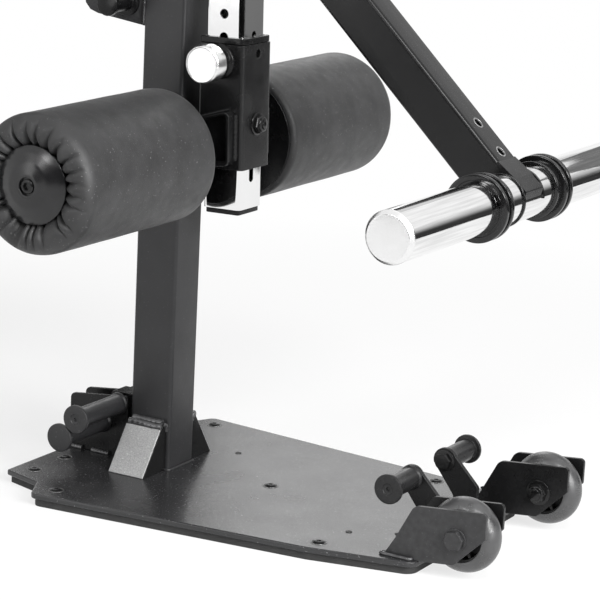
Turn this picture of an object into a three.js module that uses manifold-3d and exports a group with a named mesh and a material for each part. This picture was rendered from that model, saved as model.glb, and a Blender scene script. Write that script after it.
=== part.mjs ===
// Adjustable weight bench with a leg lever, built as separate named pieces.
//
// Units are millimetres. +Z is up, +X runs along the bench towards the transport wheels,
// and the origin is on the floor under the middle of the front column. "near" is the -Y
// side and "far" is the +Y side.

import * as THREE from 'three';
import { mergeVertices } from 'three/addons/utils/BufferGeometryUtils.js';
import Module from 'manifold-3d';

const wasm = await Module();
wasm.setup();

// ---------------------------------------------------------------- driving dimensions

// Fits
const SEAT_GAP = 0.3;            // between pieces that are welded or seated together
const RUNNING_GAP = 0.8;         // sideways play of a part that swings between two cheeks
const SIDES = [['near', -1], ['far', 1]];

// Facets
const FINE = 32;                 // large round pieces
const ROUND = 20;                // shafts, knobs and bosses
const SMALL = 12;                // holes and small screws
const CORNER = 3;                // steps in a rounded corner

// Base plate and the rubber mat under it
const MAT_THICKNESS = 8;
const MAT_INSET = 3;
const PLATE_THICKNESS = 6;
const BASE_REAR_X = -109.5;
const BASE_REAR_HALF = 126.4;
const TAB_LENGTH = 48.9;
const TAB_FLARE = 14.7;
const SHOULDER_LENGTH = 17.1;
const SHOULDER_FLARE = 34.4;
const BASE_WAIST_X = 262.4;
const BASE_WAIST_HALF = 145.4;
const BASE_FRONT_X = 370.3;
const BASE_FRONT_HALF = 121;
const BASE_FRONT_RADIUS = 14;
const BASE_EDGE_RADIUS = 3;

// Front column and its foot gussets
const COLUMN_LENGTH = 50;        // along X
const COLUMN_WIDTH = 48;         // along Y
const COLUMN_WALL = 3;
const COLUMN_RADIUS = 4;
const COLUMN_TOP = 612;
const GUSSET_LENGTH = 42.4;
const GUSSET_REACH = 43;
const GUSSET_TOP_REACH = 11;
const GUSSET_HEIGHT = 47;
const GUSSET_CROWN = 5;

// Transport wheels and the brackets that hold them
const WHEEL_X = 409;
const WHEEL_Z = 44;
const WHEEL_RADIUS = 37.3;
const WHEEL_WIDTH = 29;
const WHEEL_CROWN = 12.8;         // tread height over the side faces
const WHEEL_RECESS_RADIUS = 24;
const WHEEL_RECESS_DEPTH = 7;
const WHEEL_HUB_RADIUS = 10;
const WHEEL_Y = 93;
const WHEEL_BRACKET_SPREAD = 34; // clear width between the two plates
const BRACKET_PLATE = 4;
const BRACKET_REAR_X = 333;
const BRACKET_SHOULDER_X = 363;
const BRACKET_SHOULDER_Z = 68;
const BRACKET_TIP_X = 440;
const BRACKET_TIP_Z = 76;
const BRACKET_TIP_LOW_Z = 50;
const BRACKET_TOE_X = 408;
const BRACKET_TOE_Z = 18;
const BRACKET_RADIUS = 10;
const AXLE_BOLT_RADIUS = 6;
const AXLE_HEAD_RADIUS = 10.5;
const AXLE_HEAD_HEIGHT = 6.5;
const AXLE_NUT_HEIGHT = 10;

// Front band pegs on their upright bars
const FRONT_PEG_X = 320;
const FRONT_PEG_Z = 69.5;
const FRONT_PEG_RADIUS = 11;
const FRONT_PEG_OUTER = 88;
const PEG_BAR_INNER = 34;
const PEG_BAR_THICKNESS = 5;
const PEG_BAR_RADIUS = 13;
const PEG_BAR_FOOT_X = 346;
const PEG_BAR_FOOT_HALF = 12.5;
const PEG_BAR_ELBOW_Z = 48;
const PEG_DISC_RADIUS = 15.1;
const PEG_DISC_THICKNESS = 4;
const PEG_BOLT_RADIUS = 5;
const PEG_BOLT_HEAD_RADIUS = 9;
const PEG_BOLT_HEAD_HEIGHT = 6;

// Rear band pegs, two on each upright plate
const REAR_PLATE_INNER = 12;
const REAR_PLATE_THICKNESS = 4;
const REAR_PLATE_X0 = -108;
const REAR_PLATE_X1 = -34;
const REAR_PLATE_LOW_TOP = 74;
const REAR_PLATE_HIGH_TOP = 83;
const REAR_PEG_UPPER = [-46, 73];
const REAR_PEG_LOWER = [-66, 49.5];
const REAR_PEG_RADIUS = 10.5;
const REAR_PEG_OUTER = 96;

// Lever pivot and the bracket on top of the column
const PIVOT_X = 66;
const PIVOT_RISE = 50;           // above the column's top
const LEVER_REST_TILT_DEG = 1.54;
const PIVOT_CHEEK = 6;
const PIVOT_CHEEK_DROP = 52;     // below the column's top
const PIVOT_CHEEK_CROWN = 30;    // above the pivot
const PIVOT_CHEEK_CORNER = 24;
const PIVOT_CHEEK_CHIN = 22;
const PIVOT_CHIN_CORNER = 18;
const PIVOT_CHEEK_REACH = 30;
const PIVOT_CROWN = 6;
const PIVOT_PIN_RADIUS = 10;
const PIVOT_HEAD_RADIUS = 16;
const PIVOT_HEAD_HEIGHT = 8;
const HUB_RADIUS = 27;

// Chrome post of the lever
const POST_SIZE = 44;
const POST_WALL = 2.5;
const POST_RADIUS = 4;
const POST_END = 358.5;          // below the pivot
const POST_CAP_FLANGE = 5.4;
const POST_CAP_INSET = 2;
const POST_CAP_RADIUS = 3;
const POST_CAP_PLUG = 18;
const HOLE_PITCH = 23.5;
const HOLE_RADIUS = 5;
const FIRST_HOLE = 89.1;         // below the pivot
const HOLE_COUNT = 7;
const POST_FRONT_HOLE = 181;
const POST_SLOT_MIDDLE = 318;
const POST_SLOT_LENGTH = 27;
const POST_SLOT_WIDTH = 8;

// Weight arm and its plate sleeve
const ARM_ANGLE_DEG = 45;        // between the arm and the post
const ARM_LENGTH = 444;          // from the pivot to the sleeve's axis
const ARM_HEIGHT = 45;
const ARM_WIDTH = 38;
const ARM_WALL = 3;
const ARM_RADIUS = 4;
const ARM_HOLES = [39, 75];      // back from the sleeve's axis
const ARM_HOLE_RADIUS = 5;
const SADDLE_WALL = 2.6;
const SADDLE_SWEEP_DEG = 190;
const SLEEVE_RADIUS = 25;
const SLEEVE_HALF = 248;
const SLEEVE_CHAMFER = 4;
const COLLAR_OUTER = 74.5;
const COLLAR_RADIUS = 33.2;
const COLLAR_GROOVE_RADIUS = 29.5;
const COLLAR_HUB_RADIUS = 28.5;
const COLLAR_FLANGE = 5.5;
const COLLAR_HUB_LENGTH = 10;

// Carriage that slides on the post
const CARRIAGE_SIZE = 54.5;
const CARRIAGE_WALL = 2.5;
const CARRIAGE_RADIUS = 5;
const CARRIAGE_BOTTOM = 316.4;   // below the pivot
const CARRIAGE_TOP = 189.6;
const LINER_LIP = 6.5;
const LINER_LIP_INSET = 0.75;
const LINER_GAP = 0.3;
const LINER_DEPTH = 60;
const CARRIAGE_PIN_DROP = 206.6;
const CARRIAGE_FRONT_HOLE = 199.3;
const CARRIAGE_FRONT_HOLE_RADIUS = 4.5;
const SET_BOLT_DROP = 271;
const SET_BOLT_RADIUS = 4;
const SET_BOLT_HEAD_RADIUS = 9.7;
const SET_BOLT_WASHER_RADIUS = 11.7;

// Open box arms on the carriage, each with a stub axle for a roller
const ROLLER_AXIS_BACK = 44.2;   // behind the post's axis
const ROLLER_AXIS_DROP = 301.4;  // below the pivot
const ROLLER_ARM_DEPTH = 12.6;
const ROLLER_ARM_WALL = 3.6;
const ROLLER_ARM_FRONT = 22.2;
const ROLLER_ARM_TOP_DROP = 254;
const ROLLER_ARM_LOW_DROP = 310.5;
const ROLLER_BOSS_RADIUS = 28;
const STUB_RADIUS = 12.5;

// Foam rollers
const ROLLER_RADIUS = 68.5;
const ROLLER_INNER = 73;
const ROLLER_OUTER = 300;
const ROLLER_SHIFT = 8;          // the pair sits this far toward the far side
const ROLLER_EDGE = 16;
const ROLLER_CORE_WALL = 2.5;
const ROLLER_DISC_RADIUS = 63;
const ROLLER_DISC_THICKNESS = 3;
const ROLLER_CAP_RADIUS = 38.7;
const ROLLER_CAP_INSET = 6;      // from the pad's end back to the cap's rim
const ROLLER_CAP_CROWN = 10;
const ROLLER_CAP_RECESS = 7;

// Main beam, its bracket on the column, and the rear leg
const BEAM_WIDTH = 31;
const BEAM_HEIGHT = 76;
const BEAM_WALL = 3;
const BEAM_RADIUS = 4;
const BEAM_DROP = 36;            // from the column's top down to the beam's top
const BEAM_REAR_X = -1150;
const BEAM_BRACKET_HALF = 20;
const BEAM_BRACKET_X = -102;
const BEAM_BRACKET_DROP = 20;    // below the beam
const BEAM_BRACKET_RISE = 9;
const BEAM_BRACKET_CROWN = 16;   // above the beam
const BEAM_BRACKET_RADIUS = 20;
const TONGUE_DEPTH = 12;
const TONGUE_LENGTH = 40;
const LEG_INSET = 70;            // ahead of the beam's rear end
const LEG_SIZE = 40;
const LEG_WALL = 2.5;
const FOOT_LENGTH = 60;          // along X
const FOOT_HEIGHT = 40;
const FOOT_HALF = 230;           // along Y
const FOOT_WALL = 2.5;
const FOOT_PAD = 8;
const FOOT_CAP_WALL = 4;
const FOOT_CAP_LENGTH = 45;
const HANDLE_RADIUS = 11;
const HANDLE_REACH = 52;
const HANDLE_HALF = 62;
const HANDLE_BEND = 20;
const HANDLE_PLATE = 6;
const HANDLE_PLATE_MARGIN = 16;
const HANDLE_PLATE_HALF = 18;
const HANDLE_PLATE_CORNER = 8;

// Seat and backrest
const HINGE_RISE = 46;           // above the beam
const SEAT_HINGE_X = -285;
const BACK_HINGE_X = -400;
const FRAME_RISE = 18;           // above the hinges
const FRAME_HEIGHT = 30;
const FRAME_WALL = 2.5;
const LUG_THICKNESS = 5;
const LUG_RADIUS = 12.5;
const LUG_FOOT_HALF = 16;
const LUG_OVERLAP = 44;
const HINGE_BOLT_RADIUS = 6;
const HINGE_HEAD_RADIUS = 10;
const HINGE_HEAD_HEIGHT = 6;
const STRAP_THICKNESS = 4;
const STRAP_LENGTH = 50;
const STRAP_HALF = 105;
const BACK_STRAP_OVERLAP = 14;
const BACK_STRAP_X = -620;
const BACK_STRAP_INSET = 60;
const SEAT_STRAP_INSET = 42;
const SEAT_STRAP_BEHIND_PIN = 20;
const PAD_THICKNESS = 55;
const PAD_CORNER = 30;
const SEAT_FRONT_X = -36;
const SEAT_REAR_X = -300;
const SEAT_HALF = 150;
const BACK_FRONT_X = -365;
const BACK_REAR_X = -1150;
const BACK_HALF = 140;
const BACK_FRAME_REAR_X = -1040;
const SEAT_FRAME_FRONT_X = -62;

// Selector plates and the sprung pins that lock them
const SECTOR_INNER = 22;
const SECTOR_THICKNESS = 5;
const SECTOR_HOLE_RADIUS = 5.3;
const BACK_SECTOR_RADIUS = 72;
const BACK_SECTOR_STOPS_DEG = [0, 20, 40, 60, 80];
const SEAT_PIN_X = -150;
const SEAT_SECTOR_STOPS_DEG = [0, 8, 16];
const SECTOR_MARGIN = 13;
const LOCK_PIN_RADIUS = 4.7;
const LOCK_PIN_DROP = 72;        // below the hinges
const BARREL_RADIUS = 9.5;
const BARREL_LENGTH = 30;
const BARREL_FLANGE_RADIUS = 15;
const BARREL_FLANGE = 4;
const KNOB_RADIUS = 12.3;
const KNOB_THICKNESS = 6;
const KNOB_LIFT = 2;
const BEAM_PIN_X = -48;
const BEAM_PIN_RISE = 3;         // above the beam's underside
const BEAM_PIN_DEPTH = 14;
const CHROME_KNOB_RADIUS = 19.3;
const CHROME_KNOB_LENGTH = 18.5;
const CHROME_BARREL_RADIUS = 17;
const CHROME_BARREL_LENGTH = 17;
const CHROME_NECK_RADIUS = 12;
const PIN_CLEARANCE = 0.6;       // a drawn-back pin's tip from the plate it locks

// Rubber bumpers
const BUMPER_RADIUS = 12;
const LEVER_BUMPER_DROP = 66;    // below the pivot
const SEAT_BUMPER_X = -90;
const BACK_BUMPER_X = -985;

// ---------------------------------------------------------------- derived sizes

const BASE_TOP = MAT_THICKNESS + PLATE_THICKNESS;
const BEAM_TOP = COLUMN_TOP - BEAM_DROP;
const BEAM_BOTTOM = BEAM_TOP - BEAM_HEIGHT;
const BEAM_BRACKET_LOW = BEAM_BOTTOM - BEAM_BRACKET_DROP;
const BEAM_BRACKET_TOP = BEAM_TOP + BEAM_BRACKET_CROWN;
const PIVOT_Z = COLUMN_TOP + PIVOT_RISE;
const PIVOT_CHEEK_LOW = COLUMN_TOP - PIVOT_CHEEK_DROP;
const PIVOT_CHEEK_TOP = PIVOT_Z + PIVOT_CHEEK_CROWN;
const HINGE_Z = BEAM_TOP + HINGE_RISE;
const FRAME_TOP = HINGE_Z + FRAME_RISE;
const BEAM_PIN_Z = BEAM_BOTTOM + BEAM_PIN_RISE;
const LEG_X = BEAM_REAR_X + LEG_INSET;
const ROLLER_CAP_RIM = ROLLER_OUTER - ROLLER_CAP_INSET;
const COLUMN_FRONT = COLUMN_LENGTH / 2;
const COLUMN_SIDE = COLUMN_WIDTH / 2;
const FRAME_HALF = BEAM_WIDTH / 2 - RUNNING_GAP;
const FRAME_BOTTOM = FRAME_TOP - FRAME_HEIGHT;
const LOCK_PIN_Z = HINGE_Z - LOCK_PIN_DROP;
const SECTOR_OUTER = SECTOR_INNER + SECTOR_THICKNESS;
const PAD_BOTTOM = FRAME_TOP + SEAT_GAP;
const CHEEK_INNER = COLUMN_SIDE;
const CHEEK_OUTER = COLUMN_SIDE + PIVOT_CHEEK;
const FOOT_BOTTOM = FOOT_PAD;
const FOOT_TOP = FOOT_PAD + FOOT_HEIGHT;
const ROLLER_ARM_OUTER = CARRIAGE_SIZE / 2 + SEAT_GAP + ROLLER_ARM_DEPTH;
const WHEEL_PLATE_INNER = WHEEL_Y - WHEEL_BRACKET_SPREAD / 2 - BRACKET_PLATE;
const WHEEL_PLATE_OUTER = WHEEL_Y + WHEEL_BRACKET_SPREAD / 2 + BRACKET_PLATE;

// ---------------------------------------------------------------- finishes

const finish = (color, roughness, metalness) =>
  new THREE.MeshStandardMaterial({ color, roughness, metalness });
const BLACK_PAINT = finish(0x26262a, 0.55, 0.3);
const PLATE_PAINT = finish(0x3a3a3d, 0.6, 0.3);
const CHROME = finish(0xdedede, 0.1, 1);
const ZINC = finish(0x8e8e90, 0.35, 0.9);
const RUBBER = finish(0x1c1c1d, 0.85, 0);
const WHEEL_RUBBER = finish(0x5a5a5c, 0.7, 0);
const PLASTIC = finish(0x17171a, 0.5, 0);
const FOAM = finish(0x47474a, 0.75, 0);
const VINYL = finish(0x2b2b2e, 0.6, 0);

// ---------------------------------------------------------------- geometry helpers

const radians = THREE.MathUtils.degToRad;
const ALONG_Y = new THREE.Matrix4().set(1, 0, 0, 0, 0, 0, -1, 0, 0, 1, 0, 0, 0, 0, 0, 1);
const ALONG_X = new THREE.Matrix4().set(0, 0, 1, 0, 1, 0, 0, 0, 0, 1, 0, 0, 0, 0, 0, 1);

// A closed outline whose corners are rounded: each point is [u, v] or [u, v, radius].
function outline(points) {
  const shape = new THREE.Shape();
  points.forEach(([u, v, radius = 0], i) => {
    const [pu, pv] = points[(i + points.length - 1) % points.length];
    const [nu, nv] = points[(i + 1) % points.length];
    const back = Math.hypot(pu - u, pv - v);
    const ahead = Math.hypot(nu - u, nv - v);
    const half = Math.acos(((pu - u) * (nu - u) + (pv - v) * (nv - v)) / (back * ahead)) / 2;
    const cut = Math.min(radius / Math.tan(half), back / 2, ahead / 2);
    const enter = [u + ((pu - u) * cut) / back, v + ((pv - v) * cut) / back];
    const leave = [u + ((nu - u) * cut) / ahead, v + ((nv - v) * cut) / ahead];
    if (i === 0) shape.moveTo(...enter);
    else shape.lineTo(...enter);
    if (cut > 0) shape.quadraticCurveTo(u, v, ...leave);
  });
  shape.closePath();
  return shape;
}

const rectangle = (u0, u1, v0, v1, radius = 0) =>
  outline([[u0, v0, radius], [u1, v0, radius], [u1, v1, radius], [u0, v1, radius]]);

// A rectangular tube's section, centred on (u, v).
function tubeSection(width, height, radius, wall, u = 0, v = 0) {
  const [a, b] = [width / 2, height / 2];
  const shape = rectangle(u - a, u + a, v - b, v + b, radius);
  const inner = Math.max(radius - wall, 0);
  shape.holes.push(rectangle(u - a + wall, u + a - wall, v - b + wall, v + b - wall, inner));
  return shape;
}

function extrude(shape, depth) {
  const options = { depth, bevelEnabled: false, curveSegments: CORNER };
  return new THREE.ExtrudeGeometry(shape, options);
}

const prismZ = (shape, z0, z1) => extrude(shape, z1 - z0).translate(0, 0, z0);
const prismY = (shape, y0, y1) =>
  extrude(shape, y1 - y0).applyMatrix4(ALONG_Y).translate(0, y1, 0);
const prismX = (shape, x0, x1) =>
  extrude(shape, x1 - x0).applyMatrix4(ALONG_X).translate(x0, 0, 0);
const box = (x0, x1, y0, y1, z0, z1) => prismZ(rectangle(x0, x1, y0, y1), z0, z1);

// A turned piece on an axis parallel to Y. The profile lists [radius, y] and the piece
// sits at (x, z).
function turnedY(profile, x, z, facets = ROUND) {
  const rising = profile[profile.length - 1][1] > profile[0][1] ? profile : [...profile].reverse();
  const points = rising.map(([radius, y]) => new THREE.Vector2(radius, y));
  return new THREE.LatheGeometry(points, facets).translate(x, 0, z);
}

const discProfile = (radius, y0, y1) => [[0, y0], [radius, y0], [radius, y1], [0, y1]];
const rodY = (radius, x, z, y0, y1, facets = ROUND) =>
  turnedY(discProfile(radius, Math.min(y0, y1), Math.max(y0, y1)), x, z, facets);
const rodX = (radius, y, z, x0, x1, facets = SMALL) =>
  rodY(radius, 0, 0, x0, x1, facets).rotateZ(-Math.PI / 2).translate(0, y, z);
const rodZ = (radius, x, y, z0, z1, facets = ROUND) =>
  rodY(radius, 0, 0, z0, z1, facets).rotateX(Math.PI / 2).translate(x, y, 0);
const hexY = (radius, x, z, y0, y1) => rodY(radius, x, z, y0, y1, 6);
const mirrored = (side, low, high) => (side < 0 ? [-high, -low] : [low, high]);

// Any geometry, or an earlier result, as a solid that can be added to or cut.
function solid(source) {
  if (source instanceof wasm.Manifold) return source;
  const bare = source.clone();
  bare.deleteAttribute('normal');
  bare.deleteAttribute('uv');
  const merged = mergeVertices(bare);
  const index = merged.index.array;
  const vertProperties = new Float32Array(merged.attributes.position.array);
  const kept = [];
  for (let i = 0; i < index.length; i += 3) {
    const [a, b, c] = [index[i], index[i + 1], index[i + 2]];
    if (a !== b && b !== c && c !== a) kept.push(a, b, c);
  }
  return new wasm.Manifold(new wasm.Mesh({
    numProp: 3, vertProperties, triVerts: new Uint32Array(kept),
  }));
}

const join = (...parts) => parts.map(solid).reduce((a, b) => a.add(b));
const cut = (body, ...tools) => tools.map(solid).reduce((a, b) => a.subtract(b), solid(body));
const overlap = (a, b) => solid(a).intersect(solid(b));

function geometryOf(source) {
  if (!(source instanceof wasm.Manifold)) return source;
  const { vertProperties, triVerts } = source.getMesh();
  const geometry = new THREE.BufferGeometry();
  geometry.setAttribute('position', new THREE.BufferAttribute(vertProperties, 3));
  geometry.setIndex(new THREE.BufferAttribute(triVerts, 1));
  return geometry;
}

function piece(name, source, material) {
  const mesh = new THREE.Mesh(geometryOf(source), material);
  mesh.name = name;
  return mesh;
}

// ---------------------------------------------------------------- base and column

function baseOutline(inset, frontRadius, edgeRadius) {
  const tabX = BASE_REAR_X + TAB_LENGTH;
  const tabHalf = BASE_REAR_HALF + TAB_FLARE;
  const side = [
    [BASE_REAR_X + inset, BASE_REAR_HALF - inset, edgeRadius],
    [tabX + inset, tabHalf - inset, edgeRadius],
    [tabX + SHOULDER_LENGTH + inset, tabHalf + SHOULDER_FLARE - inset, 3 * edgeRadius],
    [BASE_WAIST_X, BASE_WAIST_HALF - inset, 0],
    [BASE_FRONT_X - inset, BASE_FRONT_HALF - inset, frontRadius],
  ];
  const opposite = side.map(([x, y, radius]) => [x, -y, radius]).reverse();
  return outline([...opposite, ...side].map(([x, y, radius]) => [x, y, radius]));
}

function base() {
  const plate = baseOutline(0, BASE_FRONT_RADIUS, BASE_EDGE_RADIUS);
  const mat = baseOutline(MAT_INSET, BASE_FRONT_RADIUS, BASE_EDGE_RADIUS);
  return [
    piece('base_mat', prismZ(mat, 0, MAT_THICKNESS), RUBBER),
    piece('base_plate', prismZ(plate, MAT_THICKNESS, BASE_TOP), PLATE_PAINT),
  ];
}

function column() {
  const section = tubeSection(COLUMN_LENGTH, COLUMN_WIDTH, COLUMN_RADIUS, COLUMN_WALL);
  const tube = piece('column', prismZ(section, BASE_TOP, COLUMN_TOP), BLACK_PAINT);
  const top = BASE_TOP + GUSSET_HEIGHT;
  const gussets = SIDES.map(([label, side]) => {
    const profile = outline([
      [side * COLUMN_SIDE, BASE_TOP], [side * (COLUMN_SIDE + GUSSET_REACH), BASE_TOP],
      [side * (COLUMN_SIDE + GUSSET_TOP_REACH), top],
      [side * (COLUMN_SIDE + GUSSET_TOP_REACH - GUSSET_CROWN), top + GUSSET_CROWN],
      [side * COLUMN_SIDE, top + GUSSET_CROWN],
    ]);
    const body = prismX(profile, -GUSSET_LENGTH / 2, GUSSET_LENGTH / 2);
    return piece(`column_gusset_${label}`, body, BLACK_PAINT);
  });
  return [tube, ...gussets];
}

// ---------------------------------------------------------------- transport wheels

function wheelBracket(label, side) {
  const plate = outline([
    [BRACKET_REAR_X, BASE_TOP], [BASE_FRONT_X, BASE_TOP], [BRACKET_TOE_X, BRACKET_TOE_Z, 4],
    [BRACKET_TIP_X, BRACKET_TIP_LOW_Z, 4], [BRACKET_TIP_X, BRACKET_TIP_Z, 5],
    [BRACKET_SHOULDER_X, BRACKET_SHOULDER_Z, BRACKET_RADIUS],
  ]);
  const web = box(
    BRACKET_REAR_X + 2, BASE_FRONT_X - 6,
    ...mirrored(side, WHEEL_PLATE_INNER + 1, WHEEL_PLATE_OUTER - 1),
    BASE_TOP, BASE_TOP + BRACKET_PLATE,
  );
  const joined = join(
    prismY(plate, ...mirrored(side, WHEEL_PLATE_INNER, WHEEL_PLATE_INNER + BRACKET_PLATE)),
    prismY(plate, ...mirrored(side, WHEEL_PLATE_OUTER - BRACKET_PLATE, WHEEL_PLATE_OUTER)),
    web,
  );
  const bore = rodY(
    AXLE_BOLT_RADIUS + SEAT_GAP, WHEEL_X, WHEEL_Z,
    ...mirrored(side, WHEEL_PLATE_INNER - 1, WHEEL_PLATE_OUTER + 1),
  );
  return piece(`wheel_bracket_${label}`, cut(joined, bore), BLACK_PAINT);
}

function wheelBolt(label, side) {
  const inner = WHEEL_PLATE_INNER;
  const outer = WHEEL_PLATE_OUTER;
  const shank = rodY(AXLE_BOLT_RADIUS, WHEEL_X, WHEEL_Z,
    ...mirrored(side, inner - AXLE_NUT_HEIGHT, outer + 1));
  const head = hexY(AXLE_HEAD_RADIUS, WHEEL_X, WHEEL_Z,
    ...mirrored(side, outer + SEAT_GAP, outer + AXLE_HEAD_HEIGHT));
  const nut = hexY(AXLE_HEAD_RADIUS, WHEEL_X, WHEEL_Z,
    ...mirrored(side, inner - AXLE_NUT_HEIGHT + 2, inner - SEAT_GAP));
  return piece(`wheel_bolt_${label}`, join(shank, head, nut), ZINC);
}

function wheel(label, side) {
  const half = WHEEL_WIDTH / 2;
  const hubHalf = WHEEL_BRACKET_SPREAD / 2 - SEAT_GAP;
  const bore = AXLE_BOLT_RADIUS + SEAT_GAP;
  const floor = half - WHEEL_RECESS_DEPTH;
  const shoulder = WHEEL_RADIUS - WHEEL_CROWN;
  const rim = [];
  for (let step = 0; step <= 6; step += 1) {
    const angle = (step / 6) * Math.PI - Math.PI / 2;
    rim.push([shoulder + WHEEL_CROWN * Math.cos(angle), half * Math.sin(angle)]);
  }
  const profile = [
    [bore, -hubHalf], [WHEEL_HUB_RADIUS, -hubHalf], [WHEEL_HUB_RADIUS, -floor],
    [WHEEL_RECESS_RADIUS, -floor], [WHEEL_RECESS_RADIUS, -half], ...rim,
    [WHEEL_RECESS_RADIUS, half], [WHEEL_RECESS_RADIUS, floor], [WHEEL_HUB_RADIUS, floor],
    [WHEEL_HUB_RADIUS, hubHalf], [bore, hubHalf], [bore, -hubHalf],
  ].map(([radius, y]) => new THREE.Vector2(radius, y));
  const body = new THREE.LatheGeometry(profile, FINE).translate(WHEEL_X, side * WHEEL_Y, WHEEL_Z);
  return piece(`wheel_${label}`, body, WHEEL_RUBBER);
}

// ---------------------------------------------------------------- band pegs

function pegBar(label, side) {
  const [x, z, r] = [FRONT_PEG_X, FRONT_PEG_Z, PEG_BAR_RADIUS];
  const rear = PEG_BAR_FOOT_X - PEG_BAR_FOOT_HALF;
  const front = PEG_BAR_FOOT_X + PEG_BAR_FOOT_HALF;
  const lean = Math.atan2(z - PEG_BAR_ELBOW_Z, front - x - r / 2);
  const [across, along] = [Math.sin(lean + 0.35), Math.cos(lean + 0.35)];
  const shape = new THREE.Shape();
  shape.moveTo(rear, BASE_TOP);
  shape.lineTo(front, BASE_TOP);
  shape.lineTo(front, PEG_BAR_ELBOW_Z);
  shape.lineTo(x + r * across, z + r * along);
  const start = Math.atan2(along, across);
  shape.absarc(x, z, r, start, start + Math.PI, false);
  shape.lineTo(rear - 2, PEG_BAR_ELBOW_Z - r);
  shape.closePath();
  const faces = mirrored(side, PEG_BAR_INNER, PEG_BAR_INNER + PEG_BAR_THICKNESS);
  const bar = new THREE.ExtrudeGeometry(shape, {
    depth: PEG_BAR_THICKNESS, bevelEnabled: false, curveSegments: SMALL,
  }).applyMatrix4(ALONG_Y).translate(0, faces[1], 0);
  const hole = rodY(PEG_BOLT_RADIUS + SEAT_GAP, x, z, faces[0] - 1, faces[1] + 1, SMALL);
  return piece(`front_peg_bar_${label}`, cut(bar, hole), BLACK_PAINT);
}

function frontPeg(label, side) {
  const seat = PEG_BAR_INNER + PEG_BAR_THICKNESS + SEAT_GAP;
  const post = rodY(FRONT_PEG_RADIUS, FRONT_PEG_X, FRONT_PEG_Z,
    ...mirrored(side, seat, FRONT_PEG_OUTER - 1));
  const disc = rodY(PEG_DISC_RADIUS, FRONT_PEG_X, FRONT_PEG_Z,
    ...mirrored(side, FRONT_PEG_OUTER - PEG_DISC_THICKNESS, FRONT_PEG_OUTER));
  const bolt = rodY(PEG_BOLT_RADIUS, FRONT_PEG_X, FRONT_PEG_Z,
    ...mirrored(side, PEG_BAR_INNER - 3, seat + 2), SMALL);
  const head = hexY(PEG_BOLT_HEAD_RADIUS, FRONT_PEG_X, FRONT_PEG_Z,
    ...mirrored(side, PEG_BAR_INNER - PEG_BOLT_HEAD_HEIGHT, PEG_BAR_INNER - SEAT_GAP));
  return piece(`front_peg_${label}`, join(post, disc, bolt, head), BLACK_PAINT);
}

function rearPegs(label, side) {
  const plate = outline([
    [REAR_PLATE_X0, BASE_TOP], [REAR_PLATE_X1, BASE_TOP],
    [REAR_PLATE_X1, REAR_PLATE_HIGH_TOP, 4], [REAR_PLATE_X0, REAR_PLATE_LOW_TOP, 6],
  ]);
  const face = REAR_PLATE_INNER + REAR_PLATE_THICKNESS;
  const parts = [prismY(plate, ...mirrored(side, REAR_PLATE_INNER, face))];
  for (const [x, z] of [REAR_PEG_UPPER, REAR_PEG_LOWER]) {
    parts.push(rodY(REAR_PEG_RADIUS, x, z, ...mirrored(side, face - 1, REAR_PEG_OUTER - 1)));
    parts.push(rodY(PEG_DISC_RADIUS, x, z,
      ...mirrored(side, REAR_PEG_OUTER - PEG_DISC_THICKNESS, REAR_PEG_OUTER)));
  }
  return piece(`rear_peg_bracket_${label}`, join(...parts), BLACK_PAINT);
}

// ---------------------------------------------------------------- lever pivot

function pivotBracket() {
  const cheek = outline([
    [-COLUMN_FRONT, PIVOT_CHEEK_LOW, 6], [COLUMN_FRONT, PIVOT_CHEEK_LOW, 6],
    [PIVOT_X + PIVOT_CHEEK_REACH, PIVOT_Z - PIVOT_CHEEK_CHIN, PIVOT_CHIN_CORNER],
    [PIVOT_X + PIVOT_CHEEK_REACH, PIVOT_CHEEK_TOP, PIVOT_CHEEK_CORNER],
    [PIVOT_X - PIVOT_CHEEK_REACH, PIVOT_CHEEK_TOP, PIVOT_CHEEK_CORNER],
    [-COLUMN_FRONT, COLUMN_TOP + PIVOT_CROWN, 8],
  ]);
  const crown = box(-COLUMN_FRONT, COLUMN_FRONT, -CHEEK_OUTER + 1, CHEEK_OUTER - 1,
    COLUMN_TOP, COLUMN_TOP + PIVOT_CROWN);
  const body = join(
    prismY(cheek, -CHEEK_OUTER, -CHEEK_INNER), prismY(cheek, CHEEK_INNER, CHEEK_OUTER), crown);
  const bore = rodY(PIVOT_PIN_RADIUS + SEAT_GAP, PIVOT_X, PIVOT_Z,
    -CHEEK_OUTER - 1, CHEEK_OUTER + 1);
  return piece('pivot_bracket', cut(body, bore), BLACK_PAINT);
}

function pivotPin() {
  const seat = CHEEK_OUTER + SEAT_GAP;
  const end = CHEEK_OUTER + PIVOT_HEAD_HEIGHT;
  return piece('pivot_pin', join(
    rodY(PIVOT_PIN_RADIUS, PIVOT_X, PIVOT_Z, -end + 1, end),
    hexY(PIVOT_HEAD_RADIUS, PIVOT_X, PIVOT_Z, -end, -seat),
    hexY(PIVOT_HEAD_RADIUS, PIVOT_X, PIVOT_Z, seat, end - 1),
  ), ZINC);
}

// ---------------------------------------------------------------- lever, turned about the pivot

function leverHub() {
  const half = CHEEK_INNER - RUNNING_GAP;
  const bore = rodY(PIVOT_PIN_RADIUS + SEAT_GAP, 0, 0, -half - 1, half + 1);
  return piece('lever_hub', cut(rodY(HUB_RADIUS, 0, 0, -half, half, FINE), bore), BLACK_PAINT);
}

const hubClearance = () => rodY(HUB_RADIUS + SEAT_GAP, 0, 0, -POST_SIZE, POST_SIZE, FINE);

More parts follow.
